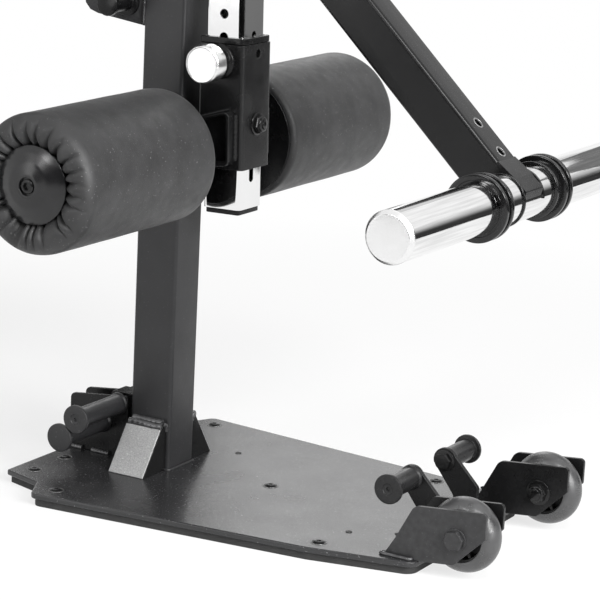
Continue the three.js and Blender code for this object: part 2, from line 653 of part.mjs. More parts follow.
function post() {
  const section = tubeSection(POST_SIZE, POST_SIZE, POST_RADIUS, POST_WALL);
  const tube = prismZ(section, -POST_END, 0);
  const half = POST_SIZE;
  const holes = Array.from({ length: HOLE_COUNT }, (_, i) =>
    rodY(HOLE_RADIUS, 0, -FIRST_HOLE - i * HOLE_PITCH, -half, half, SMALL));
  const frontHole = rodX(HOLE_RADIUS - 1, 0, -POST_FRONT_HOLE, 0, half);
  const slot = box(0, half, -POST_SLOT_WIDTH / 2, POST_SLOT_WIDTH / 2,
    -POST_SLOT_MIDDLE - POST_SLOT_LENGTH / 2, -POST_SLOT_MIDDLE + POST_SLOT_LENGTH / 2);
  return piece('post', cut(tube, hubClearance(), ...holes, frontHole, slot), CHROME);
}

function postCap() {
  const half = POST_SIZE / 2 - POST_CAP_INSET;
  const flange = rectangle(-half, half, -half, half, POST_CAP_RADIUS);
  const inner = POST_SIZE / 2 - POST_WALL - SEAT_GAP;
  const plug = rectangle(-inner, inner, -inner, inner, POST_RADIUS - POST_WALL);
  const seat = -POST_END - SEAT_GAP;
  return piece('post_end_cap', join(
    prismZ(flange, seat - POST_CAP_FLANGE, seat),
    prismZ(plug, seat - 1, seat + POST_CAP_PLUG),
  ), PLASTIC);
}

// The arm is built along -Z and then swung forward about the pivot.
function weightArm() {
  const saddleRadius = SLEEVE_RADIUS + SEAT_GAP + SADDLE_WALL;
  const section = tubeSection(ARM_HEIGHT, ARM_WIDTH, ARM_RADIUS, ARM_WALL);
  const tube = prismZ(section, -ARM_LENGTH, 0);
  const sleeveSpace = rodY(SLEEVE_RADIUS + SEAT_GAP, 0, -ARM_LENGTH,
    -ARM_WIDTH, ARM_WIDTH, FINE);
  const holes = ARM_HOLES.map((back) =>
    rodX(ARM_HOLE_RADIUS, 0, back - ARM_LENGTH, 0, ARM_HEIGHT));
  const ring = rodY(saddleRadius, 0, -ARM_LENGTH, -ARM_WIDTH / 2, ARM_WIDTH / 2, FINE);
  const wedge = new THREE.Shape();
  const reach = 2 * saddleRadius;
  wedge.moveTo(0, -ARM_LENGTH);
  wedge.absarc(0, -ARM_LENGTH, reach, radians(ARM_ANGLE_DEG - 95),
    radians(ARM_ANGLE_DEG - 95 + SADDLE_SWEEP_DEG), false);
  wedge.closePath();
  const keep = prismY(wedge, -ARM_WIDTH, ARM_WIDTH);
  const saddle = overlap(ring, keep);
  const joined = cut(join(tube, saddle), sleeveSpace, hubClearance(), ...holes);
  const swung = joined.rotate([0, -ARM_ANGLE_DEG, 0]);
  const behindPost = box(-ARM_LENGTH, POST_SIZE / 2 + SEAT_GAP, -ARM_WIDTH, ARM_WIDTH,
    -ARM_LENGTH, HUB_RADIUS);
  return piece('weight_arm', cut(swung, behindPost), BLACK_PAINT);
}

function sleeveAxis() {
  const angle = radians(ARM_ANGLE_DEG);
  return [ARM_LENGTH * Math.sin(angle), -ARM_LENGTH * Math.cos(angle)];
}

function weightSleeve() {
  const [x, z] = sleeveAxis();
  const small = SLEEVE_RADIUS - SLEEVE_CHAMFER;
  const shoulder = SLEEVE_HALF - SLEEVE_CHAMFER;
  const profile = [
    [0, -SLEEVE_HALF], [small, -SLEEVE_HALF], [SLEEVE_RADIUS, -shoulder],
    [SLEEVE_RADIUS, shoulder], [small, SLEEVE_HALF], [0, SLEEVE_HALF],
  ];
  return piece('weight_sleeve', turnedY(profile, x, z, FINE), CHROME);
}

function sleeveCollar(label, side) {
  const [x, z] = sleeveAxis();
  const bore = SLEEVE_RADIUS + SEAT_GAP;
  const groove = COLLAR_OUTER - COLLAR_FLANGE;
  const inner = groove - COLLAR_FLANGE;
  const hub = inner - COLLAR_FLANGE;
  const rows = [
    [bore, hub - COLLAR_HUB_LENGTH], [COLLAR_HUB_RADIUS, hub - COLLAR_HUB_LENGTH],
    [COLLAR_HUB_RADIUS, hub], [COLLAR_RADIUS, hub], [COLLAR_RADIUS, inner],
    [COLLAR_GROOVE_RADIUS, inner], [COLLAR_GROOVE_RADIUS, groove], [COLLAR_RADIUS, groove],
    [COLLAR_RADIUS, COLLAR_OUTER], [bore, COLLAR_OUTER], [bore, hub - COLLAR_HUB_LENGTH],
  ];
  const profile = (side < 0 ? rows.map(([r, y]) => [r, -y]).reverse() : rows)
    .map(([r, y]) => new THREE.Vector2(r, y));
  return piece(`sleeve_collar_${label}`,
    new THREE.LatheGeometry(profile, FINE).translate(x, 0, z), RUBBER);
}

// ---------------------------------------------------------------- carriage on the post

function carriageTube() {
  const section = tubeSection(CARRIAGE_SIZE, CARRIAGE_SIZE, CARRIAGE_RADIUS, CARRIAGE_WALL);
  const half = CARRIAGE_SIZE;
  const pinHole = rodY(LOCK_PIN_RADIUS + 1, 0, -CARRIAGE_PIN_DROP, -half, 0, SMALL);
  const frontHole = rodX(CARRIAGE_FRONT_HOLE_RADIUS, 0, -CARRIAGE_FRONT_HOLE, 0, half);
  const boltHole = rodX(SET_BOLT_RADIUS + SEAT_GAP, 0, -SET_BOLT_DROP, 0, half);
  return piece('carriage', cut(
    prismZ(section, -CARRIAGE_BOTTOM, -CARRIAGE_TOP), pinHole, frontHole, boltHole), BLACK_PAINT);
}

function carriageLiner() {
  const bore = POST_SIZE + 2 * LINER_GAP;
  const skirtSize = CARRIAGE_SIZE - 2 * CARRIAGE_WALL - 2 * LINER_GAP;
  const seat = -CARRIAGE_TOP + SEAT_GAP;
  const lipSize = CARRIAGE_SIZE - 2 * LINER_LIP_INSET;
  const lip = tubeSection(lipSize, lipSize, CARRIAGE_RADIUS, (lipSize - bore) / 2);
  const skirt = tubeSection(skirtSize, skirtSize, CARRIAGE_RADIUS - CARRIAGE_WALL,
    (skirtSize - bore) / 2);
  const pinHole = rodY(LOCK_PIN_RADIUS + 1, 0, -CARRIAGE_PIN_DROP, -CARRIAGE_SIZE, 0, SMALL);
  return piece('carriage_liner', cut(join(
    prismZ(lip, seat, seat + LINER_LIP), prismZ(skirt, -CARRIAGE_TOP - LINER_DEPTH, seat + 1),
  ), pinHole), PLASTIC);
}

function rollerArm(label, side) {
  const back = CARRIAGE_SIZE / 2 + SEAT_GAP;
  const form = (inset) => {
    const shape = new THREE.Shape();
    const r = ROLLER_BOSS_RADIUS - inset;
    const [x, z] = [-ROLLER_AXIS_BACK, -ROLLER_AXIS_DROP];
    shape.moveTo(ROLLER_ARM_FRONT - inset, -ROLLER_ARM_LOW_DROP + inset);
    shape.lineTo(ROLLER_ARM_FRONT - inset, -ROLLER_ARM_TOP_DROP - inset);
    shape.absarc(x, z, r, radians(105), radians(265), false);
    shape.lineTo(0, -ROLLER_ARM_LOW_DROP - 2 + inset);
    shape.closePath();
    return shape;
  };
  const extrudeForm = (inset, low, high) => {
    const [y0, y1] = mirrored(side, low, high);
    return new THREE.ExtrudeGeometry(form(inset), {
      depth: y1 - y0, bevelEnabled: false, curveSegments: 10,
    }).applyMatrix4(ALONG_Y).translate(0, y1, 0);
  };
  const shell = extrudeForm(0, back, ROLLER_ARM_OUTER);
  const hollow = extrudeForm(ROLLER_ARM_WALL, back + ROLLER_ARM_WALL, ROLLER_ARM_OUTER + 1);
  const stub = rodY(STUB_RADIUS, -ROLLER_AXIS_BACK, -ROLLER_AXIS_DROP,
    ...mirrored(side, back + 1, ROLLER_CAP_RIM - 8 + side * ROLLER_SHIFT));
  return piece(`roller_arm_${label}`, join(cut(shell, hollow), stub), BLACK_PAINT);
}

function setBolt() {
  const face = CARRIAGE_SIZE / 2;
  const washer = rodX(SET_BOLT_WASHER_RADIUS, 0, -SET_BOLT_DROP,
    face + SEAT_GAP, face + SEAT_GAP + 1.6);
  const head = rodX(SET_BOLT_HEAD_RADIUS, 0, -SET_BOLT_DROP, face + 1.5, face + 8, 6);
  const shank = rodX(SET_BOLT_RADIUS, 0, -SET_BOLT_DROP,
    face - CARRIAGE_WALL - LINER_GAP, face + 4);
  return piece('carriage_set_bolt', join(washer, head, shank), ZINC);
}

function carriagePinBarrel() {
  const face = -CARRIAGE_SIZE / 2 - SEAT_GAP;
  const neck = face - CHROME_BARREL_LENGTH;
  const rows = [
    [LOCK_PIN_RADIUS + SEAT_GAP, neck], [CHROME_NECK_RADIUS, neck],
    [CHROME_NECK_RADIUS, face - 9], [CHROME_BARREL_RADIUS, face - 6],
    [CHROME_BARREL_RADIUS, face], [LOCK_PIN_RADIUS + SEAT_GAP, face],
    [LOCK_PIN_RADIUS + SEAT_GAP, neck],
  ].map(([r, y]) => new THREE.Vector2(r, y));
  return piece('carriage_pin_barrel',
    new THREE.LatheGeometry(rows, ROUND).translate(0, 0, -CARRIAGE_PIN_DROP), PLASTIC);
}

function carriagePin() {
  const near = -CARRIAGE_SIZE / 2 - SEAT_GAP - CHROME_BARREL_LENGTH - SEAT_GAP;
  const tip = -POST_SIZE / 2 - PIN_CLEARANCE;
  const far = near - CHROME_KNOB_LENGTH;
  const profile = [
    [0, far], [CHROME_KNOB_RADIUS - 1.5, far], [CHROME_KNOB_RADIUS, far + 1.5],
    [CHROME_KNOB_RADIUS, near - 1], [CHROME_KNOB_RADIUS - 1, near],
    [LOCK_PIN_RADIUS, near], [LOCK_PIN_RADIUS, tip], [0, tip],
  ];
  return piece('carriage_pin', turnedY(profile, 0, -CARRIAGE_PIN_DROP, FINE), CHROME);
}

// ---------------------------------------------------------------- foam rollers

function roller(label, side) {
  const [x, z] = [-ROLLER_AXIS_BACK, -ROLLER_AXIS_DROP];
  const sided = (rows) => {
    const placed = rows.map(([r, y]) => [r, side * y + ROLLER_SHIFT]);
    return side < 0 ? placed.reverse() : placed;
  };
  const lathe = (rows) => new THREE.LatheGeometry(
    sided(rows).map(([r, y]) => new THREE.Vector2(r, y)), FINE).translate(x, 0, z);
  const bore = STUB_RADIUS + SEAT_GAP;
  const coreOuter = bore + ROLLER_CORE_WALL;
  const discFace = ROLLER_INNER + ROLLER_DISC_THICKNESS;
  const capSeat = ROLLER_CAP_RIM - ROLLER_CAP_RECESS;
  const core = [
    [bore, ROLLER_INNER], [ROLLER_DISC_RADIUS, ROLLER_INNER], [ROLLER_DISC_RADIUS, discFace],
    [coreOuter, discFace], [coreOuter, capSeat - 1], [bore, capSeat - 1], [bore, ROLLER_INNER],
  ];
  const foamBore = coreOuter + SEAT_GAP;
  const foamInner = discFace + SEAT_GAP;
  const edge = [];
  for (let step = 0; step <= 6; step += 1) {
    const angle = (step / 6) * (Math.PI / 2);
    edge.push([
      ROLLER_RADIUS - ROLLER_EDGE + ROLLER_EDGE * Math.cos(angle),
      ROLLER_OUTER - ROLLER_EDGE + ROLLER_EDGE * Math.sin(angle),
    ]);
  }
  const pad = [
    [foamBore, foamInner], [ROLLER_RADIUS - 2, foamInner], [ROLLER_RADIUS, foamInner + 2],
    ...edge, [ROLLER_CAP_RADIUS + 2, ROLLER_CAP_RIM + 1],
    [ROLLER_CAP_RADIUS + 0.5, capSeat - SEAT_GAP], [foamBore, capSeat - SEAT_GAP],
    [foamBore, foamInner],
  ];
  const crown = ROLLER_CAP_RIM + ROLLER_CAP_CROWN;
  const cap = [
    [0, capSeat], [ROLLER_CAP_RADIUS - 1, capSeat], [ROLLER_CAP_RADIUS, ROLLER_CAP_RIM],
    [ROLLER_CAP_RADIUS * 0.8, ROLLER_CAP_RIM + ROLLER_CAP_CROWN * 0.38],
    [ROLLER_CAP_RADIUS * 0.5, ROLLER_CAP_RIM + ROLLER_CAP_CROWN * 0.78],
    [ROLLER_CAP_RADIUS * 0.2, crown], [0, crown],
  ];
  return [
    piece(`roller_core_${label}`, lathe(core), PLASTIC),
    piece(`roller_pad_${label}`, lathe(pad), FOAM),
    piece(`roller_cap_${label}`, turnedY(sided(cap), x, z, FINE), BLACK_PAINT),
  ];
}

function lever() {
  const group = new THREE.Group();
  group.position.set(PIVOT_X, 0, PIVOT_Z);
  group.rotation.y = -radians(LEVER_REST_TILT_DEG);
  group.add(leverHub(), post(), postCap(), weightArm(), weightSleeve());
  group.add(carriageTube(), carriageLiner(), setBolt(), carriagePinBarrel(), carriagePin());
  for (const [label, side] of SIDES) {
    group.add(sleeveCollar(label, side), rollerArm(label, side), ...roller(label, side));
  }
  return group;
}

// ---------------------------------------------------------------- main beam and rear leg

function beamBracket() {
  const plate = outline([
    [-COLUMN_FRONT, BEAM_BRACKET_LOW], [-COLUMN_FRONT, BEAM_BRACKET_TOP],
    [BEAM_BRACKET_X, BEAM_BRACKET_TOP, BEAM_BRACKET_RADIUS],
    [BEAM_BRACKET_X, BEAM_BRACKET_LOW + BEAM_BRACKET_RISE, BEAM_BRACKET_RADIUS],
  ].reverse());
  const inner = BEAM_WIDTH / 2 + SEAT_GAP;
  const web = box(-COLUMN_FRONT - BRACKET_PLATE, -COLUMN_FRONT,
    -BEAM_BRACKET_HALF + 1, BEAM_BRACKET_HALF - 1, BEAM_BRACKET_LOW, BEAM_BRACKET_TOP);
  const body = join(
    prismY(plate, -BEAM_BRACKET_HALF, -inner), prismY(plate, inner, BEAM_BRACKET_HALF), web);
  const pinHole = rodY(LOCK_PIN_RADIUS + SEAT_GAP, BEAM_PIN_X, BEAM_PIN_Z,
    -BEAM_BRACKET_HALF - 1, 0, SMALL);
  return piece('beam_bracket', cut(body, pinHole), BLACK_PAINT);
}

function mainBeam() {
  const front = -COLUMN_FRONT - BRACKET_PLATE - SEAT_GAP;
  const half = BEAM_WIDTH / 2;
  const section = tubeSection(BEAM_WIDTH, BEAM_HEIGHT, BEAM_RADIUS, BEAM_WALL, 0,
    BEAM_BOTTOM + BEAM_HEIGHT / 2);
  const parts = [
    prismX(section, BEAM_REAR_X, front),
    box(front - TONGUE_LENGTH, front, -half + 1, half - 1, BEAM_BOTTOM - TONGUE_DEPTH,
      BEAM_BOTTOM + BEAM_WALL + 8),
  ];
  for (const x of [SEAT_HINGE_X, BACK_HINGE_X]) {
    const lug = new THREE.Shape();
    lug.moveTo(x - LUG_FOOT_HALF, BEAM_TOP - LUG_OVERLAP);
    lug.lineTo(x + LUG_FOOT_HALF, BEAM_TOP - LUG_OVERLAP);
    lug.absarc(x, HINGE_Z, LUG_RADIUS, 0, Math.PI, false);
    lug.closePath();
    parts.push(prismY(lug, -half - LUG_THICKNESS, -half + 0.1));
    parts.push(prismY(lug, half - 0.1, half + LUG_THICKNESS));
  }
  const bore = (x, z, radius) => rodY(radius, x, z, -SECTOR_OUTER, SECTOR_OUTER, SMALL);
  const pinBore = LOCK_PIN_RADIUS + SEAT_GAP;
  return piece('main_beam', cut(join(...parts),
    bore(SEAT_HINGE_X, HINGE_Z, HINGE_BOLT_RADIUS + SEAT_GAP),
    bore(BACK_HINGE_X, HINGE_Z, HINGE_BOLT_RADIUS + SEAT_GAP),
    bore(SEAT_PIN_X, LOCK_PIN_Z, pinBore), bore(BACK_HINGE_X, LOCK_PIN_Z, pinBore),
    rodY(pinBore, BEAM_PIN_X, BEAM_PIN_Z, -half - 1, BEAM_PIN_DEPTH - half + 4, SMALL),
  ), BLACK_PAINT);
}

function rearLeg() {
  const upright = tubeSection(LEG_SIZE, BEAM_WIDTH, BEAM_RADIUS, LEG_WALL, LEG_X, 0);
  const crosswise = tubeSection(FOOT_LENGTH, FOOT_HEIGHT, BEAM_RADIUS, FOOT_WALL, LEG_X,
    FOOT_BOTTOM + FOOT_HEIGHT / 2);
  return piece('rear_leg', join(
    prismZ(upright, FOOT_TOP - 1, BEAM_BOTTOM), prismY(crosswise, -FOOT_HALF, FOOT_HALF),
  ), BLACK_PAINT);
}

function footCap(label, side) {
  const half = FOOT_LENGTH / 2 + FOOT_CAP_WALL;
  const start = FOOT_HALF - FOOT_CAP_LENGTH;
  const shell = rectangle(LEG_X - half, LEG_X + half, 0, FOOT_TOP + FOOT_CAP_WALL, 6);
  const socket = rectangle(
    LEG_X - FOOT_LENGTH / 2 - SEAT_GAP, LEG_X + FOOT_LENGTH / 2 + SEAT_GAP,
    FOOT_BOTTOM - SEAT_GAP, FOOT_TOP + SEAT_GAP, BEAM_RADIUS);
  return piece(`foot_cap_${label}`, cut(
    prismY(shell, ...mirrored(side, start, FOOT_HALF + FOOT_CAP_WALL + SEAT_GAP)),
    prismY(socket, ...mirrored(side, start - 1, FOOT_HALF + SEAT_GAP)),
  ), RUBBER);
}

function rearHandle() {
  const z = BEAM_BOTTOM + BEAM_HEIGHT / 2;
  const near = BEAM_REAR_X - HANDLE_PLATE / 2;
  const far = BEAM_REAR_X - HANDLE_PLATE - HANDLE_REACH;
  const path = new THREE.CurvePath();
  const point = (x, y) => new THREE.Vector3(x, y, z);
  const [y0, y1, b] = [-HANDLE_HALF, HANDLE_HALF, HANDLE_BEND];
  path.add(new THREE.LineCurve3(point(near, y0), point(far + b, y0)));
  path.add(new THREE.QuadraticBezierCurve3(
    point(far + b, y0), point(far, y0), point(far, y0 + b)));
  path.add(new THREE.LineCurve3(point(far, y0 + b), point(far, y1 - b)));
  path.add(new THREE.QuadraticBezierCurve3(
    point(far, y1 - b), point(far, y1), point(far + b, y1)));
  path.add(new THREE.LineCurve3(point(far + b, y1), point(near, y1)));
  const section = new THREE.Shape().absarc(0, 0, HANDLE_RADIUS, 0, 2 * Math.PI, false);
  const bar = new THREE.ExtrudeGeometry(section, {
    steps: 26, extrudePath: path, curveSegments: 5, bevelEnabled: false,
  });
  const half = HANDLE_HALF + HANDLE_PLATE_MARGIN;
  const flat = rectangle(-half, half, z - HANDLE_PLATE_HALF, z + HANDLE_PLATE_HALF,
    HANDLE_PLATE_CORNER);
  const plate = prismX(flat, BEAM_REAR_X - HANDLE_PLATE, BEAM_REAR_X);
  return piece('rear_handle', join(plate, bar), BLACK_PAINT);
}

// ---------------------------------------------------------------- seat and backrest

function hingeBolt(name, x, headSide) {
  const near = -BEAM_WIDTH / 2 - LUG_THICKNESS;
  const outerNear = headSide === 'sector' ? -SECTOR_OUTER : near;
  const far = BEAM_WIDTH / 2 + LUG_THICKNESS;
  return piece(name, join(
    rodY(HINGE_BOLT_RADIUS, x, HINGE_Z, outerNear - 2, far + 2, SMALL),
    hexY(HINGE_HEAD_RADIUS, x, HINGE_Z, outerNear - HINGE_HEAD_HEIGHT, outerNear - SEAT_GAP),
    hexY(HINGE_HEAD_RADIUS, x, HINGE_Z, far + SEAT_GAP, far + HINGE_HEAD_HEIGHT),
  ), ZINC);
}

// A longitudinal tube with cross straps under the pad and a selector plate beside the beam.
function padFrame(name, x0, x1, straps, sector, hingeX, holes) {
  const section = tubeSection(2 * FRAME_HALF, FRAME_HEIGHT, BEAM_RADIUS, FRAME_WALL, 0,
    FRAME_BOTTOM + FRAME_HEIGHT / 2);
  const boss = rodY(HINGE_BOLT_RADIUS + 4, hingeX, HINGE_Z - 2, -FRAME_HALF, FRAME_HALF);
  const parts = [prismX(section, x0, x1), boss];
  for (const x of straps) {
    parts.push(box(x - STRAP_LENGTH / 2, x + STRAP_LENGTH / 2, -STRAP_HALF, STRAP_HALF,
      FRAME_TOP - STRAP_THICKNESS, FRAME_TOP));
  }
  parts.push(prismY(sector, -SECTOR_OUTER, -SECTOR_INNER));
  const tools = [rodY(HINGE_BOLT_RADIUS + SEAT_GAP, hingeX, HINGE_Z,
    -SECTOR_OUTER - 1, FRAME_HALF + 1, SMALL)];
  for (const [x, z] of holes) {
    tools.push(rodY(SECTOR_HOLE_RADIUS, x, z, -SECTOR_OUTER - 1, -SECTOR_INNER + 1, SMALL));
  }
  return piece(name, cut(join(...parts), ...tools), BLACK_PAINT);
}

// Where a selector plate's holes lie at rest: each comes onto the fixed pin at its stop.
function selectorHoles(hingeX, pinX, stops, turn) {
  const [dx, dz] = [pinX - hingeX, LOCK_PIN_Z - HINGE_Z];
  return stops.map((degrees) => {
    const angle = turn * radians(degrees);
    return [
      hingeX + dx * Math.cos(angle) - dz * Math.sin(angle),
      HINGE_Z + dx * Math.sin(angle) + dz * Math.cos(angle),
    ];
  });
}

function backFrame() {
  const holes = selectorHoles(
    BACK_HINGE_X, BACK_HINGE_X, BACK_SECTOR_STOPS_DEG, 1);
  const reach = BACK_SECTOR_RADIUS + SECTOR_MARGIN;
  const rootRear = BACK_HINGE_X - STRAP_LENGTH;
  const sector = new THREE.Shape();
  sector.moveTo(rootRear, FRAME_TOP - 1);
  sector.lineTo(rootRear, FRAME_BOTTOM);
  sector.absarc(BACK_HINGE_X, HINGE_Z, reach, radians(-101), radians(4), false);
  sector.lineTo(BACK_HINGE_X + LUG_FOOT_HALF, FRAME_TOP - 1);
  sector.closePath();
  const straps = [rootRear + STRAP_LENGTH / 2 - BACK_STRAP_OVERLAP, BACK_STRAP_X,
    BACK_FRAME_REAR_X + BACK_STRAP_INSET];
  return padFrame('back_frame', BACK_FRAME_REAR_X, BACK_HINGE_X + LUG_FOOT_HALF - 2, straps,
    sector, BACK_HINGE_X, holes);
}

function seatFrame() {
  const holes = selectorHoles(SEAT_HINGE_X, SEAT_PIN_X, SEAT_SECTOR_STOPS_DEG, -1);
  const [top, low] = [holes[0], holes[holes.length - 1]];
  const m = SECTOR_MARGIN;
  const sector = outline([
    [low[0] - 2 * m, FRAME_TOP - 1], [low[0] - m, low[1] - m / 2, 8], [low[0] + m / 2, low[1] - m, 8],
    [top[0] + m, top[1] - m / 2, 8], [top[0] + m, FRAME_TOP - 1],
  ]);
  const straps = [SEAT_REAR_X + SEAT_STRAP_INSET, SEAT_PIN_X - SEAT_STRAP_BEHIND_PIN,
    SEAT_FRAME_FRONT_X - STRAP_LENGTH / 2];
  return padFrame('seat_frame', SEAT_HINGE_X - LUG_FOOT_HALF + 2, SEAT_FRAME_FRONT_X, straps,
    sector, SEAT_HINGE_X, holes);
}

function pad(name, x0, x1, half) {
  const shape = rectangle(x0, x1, -half, half, PAD_CORNER);
  const edge = 8;
  const body = new THREE.ExtrudeGeometry(shape, {
    depth: PAD_THICKNESS - 2 * edge, bevelEnabled: true, bevelThickness: edge,
    bevelSize: edge, bevelOffset: -edge, bevelSegments: 2, curveSegments: 5,
  }).translate(0, 0, PAD_BOTTOM + edge);
  return piece(name, body, VINYL);
}

// ---------------------------------------------------------------- sprung lock pins

// The barrel's flange sits on a flat face at y = face, and the knob is on the outer side.
function lockPin(name, x, z, face, side, tip) {
  const out = (distance) => face + side * distance;
  const bore = LOCK_PIN_RADIUS + SEAT_GAP;
  const ordered = (rows) => (side < 0 ? [...rows].reverse() : rows);
  const barrel = ordered([
    [bore, out(SEAT_GAP)], [BARREL_FLANGE_RADIUS, out(SEAT_GAP)],
    [BARREL_FLANGE_RADIUS, out(BARREL_FLANGE)], [BARREL_RADIUS, out(BARREL_FLANGE)],
    [BARREL_RADIUS, out(BARREL_LENGTH)], [bore, out(BARREL_LENGTH)], [bore, out(SEAT_GAP)],
  ]).map(([r, y]) => new THREE.Vector2(r, y));
  const seat = BARREL_LENGTH + KNOB_LIFT;
  const pin = [
    [0, tip], [LOCK_PIN_RADIUS, tip], [LOCK_PIN_RADIUS, out(seat)], [KNOB_RADIUS, out(seat)],
    [KNOB_RADIUS, out(seat + KNOB_THICKNESS)], [0, out(seat + KNOB_THICKNESS)],
  ];
  return [
    piece(`${name}_barrel`, new THREE.LatheGeometry(barrel, ROUND).translate(x, 0, z), PLASTIC),
    piece(name, turnedY(ordered(pin), x, z), BLACK_PAINT),
  ];
}

// ---------------------------------------------------------------- bumpers

function bumpers() {
  const tilt = radians(LEVER_REST_TILT_DEG);
  const z = PIVOT_Z - LEVER_BUMPER_DROP;
  const postBack = PIVOT_X - POST_SIZE / 2 / Math.cos(tilt)
    + (LEVER_BUMPER_DROP - BUMPER_RADIUS) * Math.tan(tilt);
  const frameRest = FRAME_BOTTOM - SEAT_GAP;
  return [
    piece('lever_bumper', rodX(BUMPER_RADIUS, 0, z, COLUMN_FRONT, postBack - SEAT_GAP, ROUND),
      RUBBER),
    piece('seat_bumper', rodZ(BUMPER_RADIUS, SEAT_BUMPER_X, 0, BEAM_TOP, frameRest), RUBBER),
    piece('back_bumper', rodZ(BUMPER_RADIUS, BACK_BUMPER_X, 0, BEAM_TOP, frameRest), RUBBER),
  ];
}

// ---------------------------------------------------------------- assembly

const bench = new THREE.Group();
bench.add(...base(), ...column(), pivotBracket(), pivotPin(), lever());
bench.add(beamBracket(), mainBeam(), rearLeg(), rearHandle());
for (const [label, side] of SIDES) {
  bench.add(wheelBracket(label, side), wheelBolt(label, side), wheel(label, side));
  bench.add(pegBar(label, side), frontPeg(label, side), rearPegs(label, side));
  bench.add(footCap(label, side));
}
bench.add(seatFrame(), backFrame());
bench.add(pad('seat_pad', SEAT_REAR_X, SEAT_FRONT_X, SEAT_HALF));
bench.add(pad('back_pad', BACK_REAR_X, BACK_FRONT_X, BACK_HALF));
bench.add(hingeBolt('seat_hinge_bolt', SEAT_HINGE_X, 'lug'));
bench.add(hingeBolt('back_hinge_bolt', BACK_HINGE_X, 'sector'));
bench.add(...lockPin('beam_pin', BEAM_PIN_X, BEAM_PIN_Z, -BEAM_BRACKET_HALF, -1,
  BEAM_PIN_DEPTH - BEAM_WIDTH / 2));
bench.add(...lockPin('seat_pin', SEAT_PIN_X, LOCK_PIN_Z, BEAM_WIDTH / 2, 1,
  PIN_CLEARANCE - SECTOR_INNER));
bench.add(...lockPin('back_pin', BACK_HINGE_X, LOCK_PIN_Z, BEAM_WIDTH / 2 + LUG_THICKNESS, 1,
  PIN_CLEARANCE - SECTOR_INNER));
bench.add(...bumpers());

export default bench;
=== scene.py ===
"""Visual model of an adjustable weight bench with a swinging leg lever.

Each sub-assembly is a class that builds its meshes, in millimetres, and dresses them in
its finishes. +X runs towards the transport wheels, +Z is up, and the near side is -Y.
"""

import logging
import math
from dataclasses import dataclass
from enum import Enum
from typing import ClassVar, Iterable, Optional, Sequence, Union

import bmesh
import bpy
from mathutils import Matrix, Vector, noise
from mathutils.bvhtree import BVHTree


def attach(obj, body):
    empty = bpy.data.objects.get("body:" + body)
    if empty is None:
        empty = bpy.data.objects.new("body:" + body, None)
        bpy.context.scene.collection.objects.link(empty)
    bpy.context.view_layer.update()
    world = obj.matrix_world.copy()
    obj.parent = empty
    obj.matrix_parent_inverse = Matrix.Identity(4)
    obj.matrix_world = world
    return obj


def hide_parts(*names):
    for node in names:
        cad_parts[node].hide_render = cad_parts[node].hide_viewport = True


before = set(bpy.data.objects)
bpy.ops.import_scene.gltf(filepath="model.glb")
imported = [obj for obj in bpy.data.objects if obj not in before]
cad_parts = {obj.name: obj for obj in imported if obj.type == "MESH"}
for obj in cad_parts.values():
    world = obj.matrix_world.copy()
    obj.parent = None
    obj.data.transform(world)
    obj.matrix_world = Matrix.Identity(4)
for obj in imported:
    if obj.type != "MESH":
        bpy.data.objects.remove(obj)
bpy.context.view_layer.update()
LOG = logging.getLogger("weight_bench")

MM = 0.001
SHARP = math.radians(38)
FLAT = math.radians(1)
SAME_SPOT = 1e-4
SAME_CAD_SPOT = 2e-6
FRAME = "bench_frame"
LEVER = "lever"
PLATE_TOP = 14.0
LEVER_PIVOT = (66.0, 662.0)
LEVER_TILT = math.radians(-1.54)
ROLLER_AXIS = (-44.2, -301.4)
ROLLER_SHIFT = 8.0
JOINT_BEAD = {"radius": 2.2, "pitch": 3.0, "wander": 0.25}
REST = Matrix.Identity(4)
LEVER_REST = Matrix.Translation((LEVER_PIVOT[0], 0.0, LEVER_PIVOT[1])) @ Matrix.Rotation(
    LEVER_TILT, 4, "Y"
)

Piece = bpy.types.Object
Material = bpy.types.Material
Tree = bpy.types.NodeTree
Node = bpy.types.Node
Socket = bpy.types.NodeSocket
Span = tuple[float, float]
Corner = tuple[float, ...]
Spot = tuple[float, float, float]
Path = Sequence[Sequence[float]]
Inputs = dict[Union[str, int], object]


class Side(Enum):
    """The two sides of the bench."""

    NEAR = -1
    FAR = 1

    @property
    def label(self) -> str:
        """The word used in the names of this side's pieces."""
        return self.name.lower()

    def span(self, inner: float, outer: float) -> Span:
        """The low and high Y of what lies between two distances from the middle."""
        return (inner, outer) if self is Side.FAR else (-outer, -inner)


class Axis(Enum):
    """The axis a body is turned about."""

    X = 0
    Y = 1
    Z = 2

    def point(self, along: float, u: float, v: float) -> Vector:
        """Finds a point in space.

        Args:
            along: Its place along the axis.
            u: Its place along the first of the other axes.
            v: Its place along the second of them.

        Returns:
            The point.
        """
        place = [u, v]
        place.insert(self.value, along)
        return Vector(place)


class Plane(Enum):
    """The plane an outline is drawn in; its thickness runs along the third axis."""

    XY = (0, 1, 2)
    XZ = (0, 2, 1)
    YZ = (1, 2, 0)

    def point(self, u: float, v: float, w: float) -> Vector:
        """Finds a point in space.

        Args:
            u: Its place along the plane's first axis.
            v: Its place along the plane's second axis.
            w: Its place along the third axis.

        Returns:
            The point.
        """
        place = [0.0, 0.0, 0.0]
        for axis, value in zip(self.value, (u, v, w)):
            place[axis] = value
        return Vector(place)


class Slot(Enum):
    """The part's material slots."""

    BLACK_PAINT = "black_paint"
    PLATE_PAINT = "plate_paint"
    CHROME = "chrome"
    ZINC = "zinc"
    RUBBER = "rubber"
    WHEEL_RUBBER = "wheel_rubber"
    PLASTIC = "plastic"
    FOAM_COVER = "foam_cover"
    VINYL = "vinyl"


# ------------------------------------------------------------------ nodes and finishes


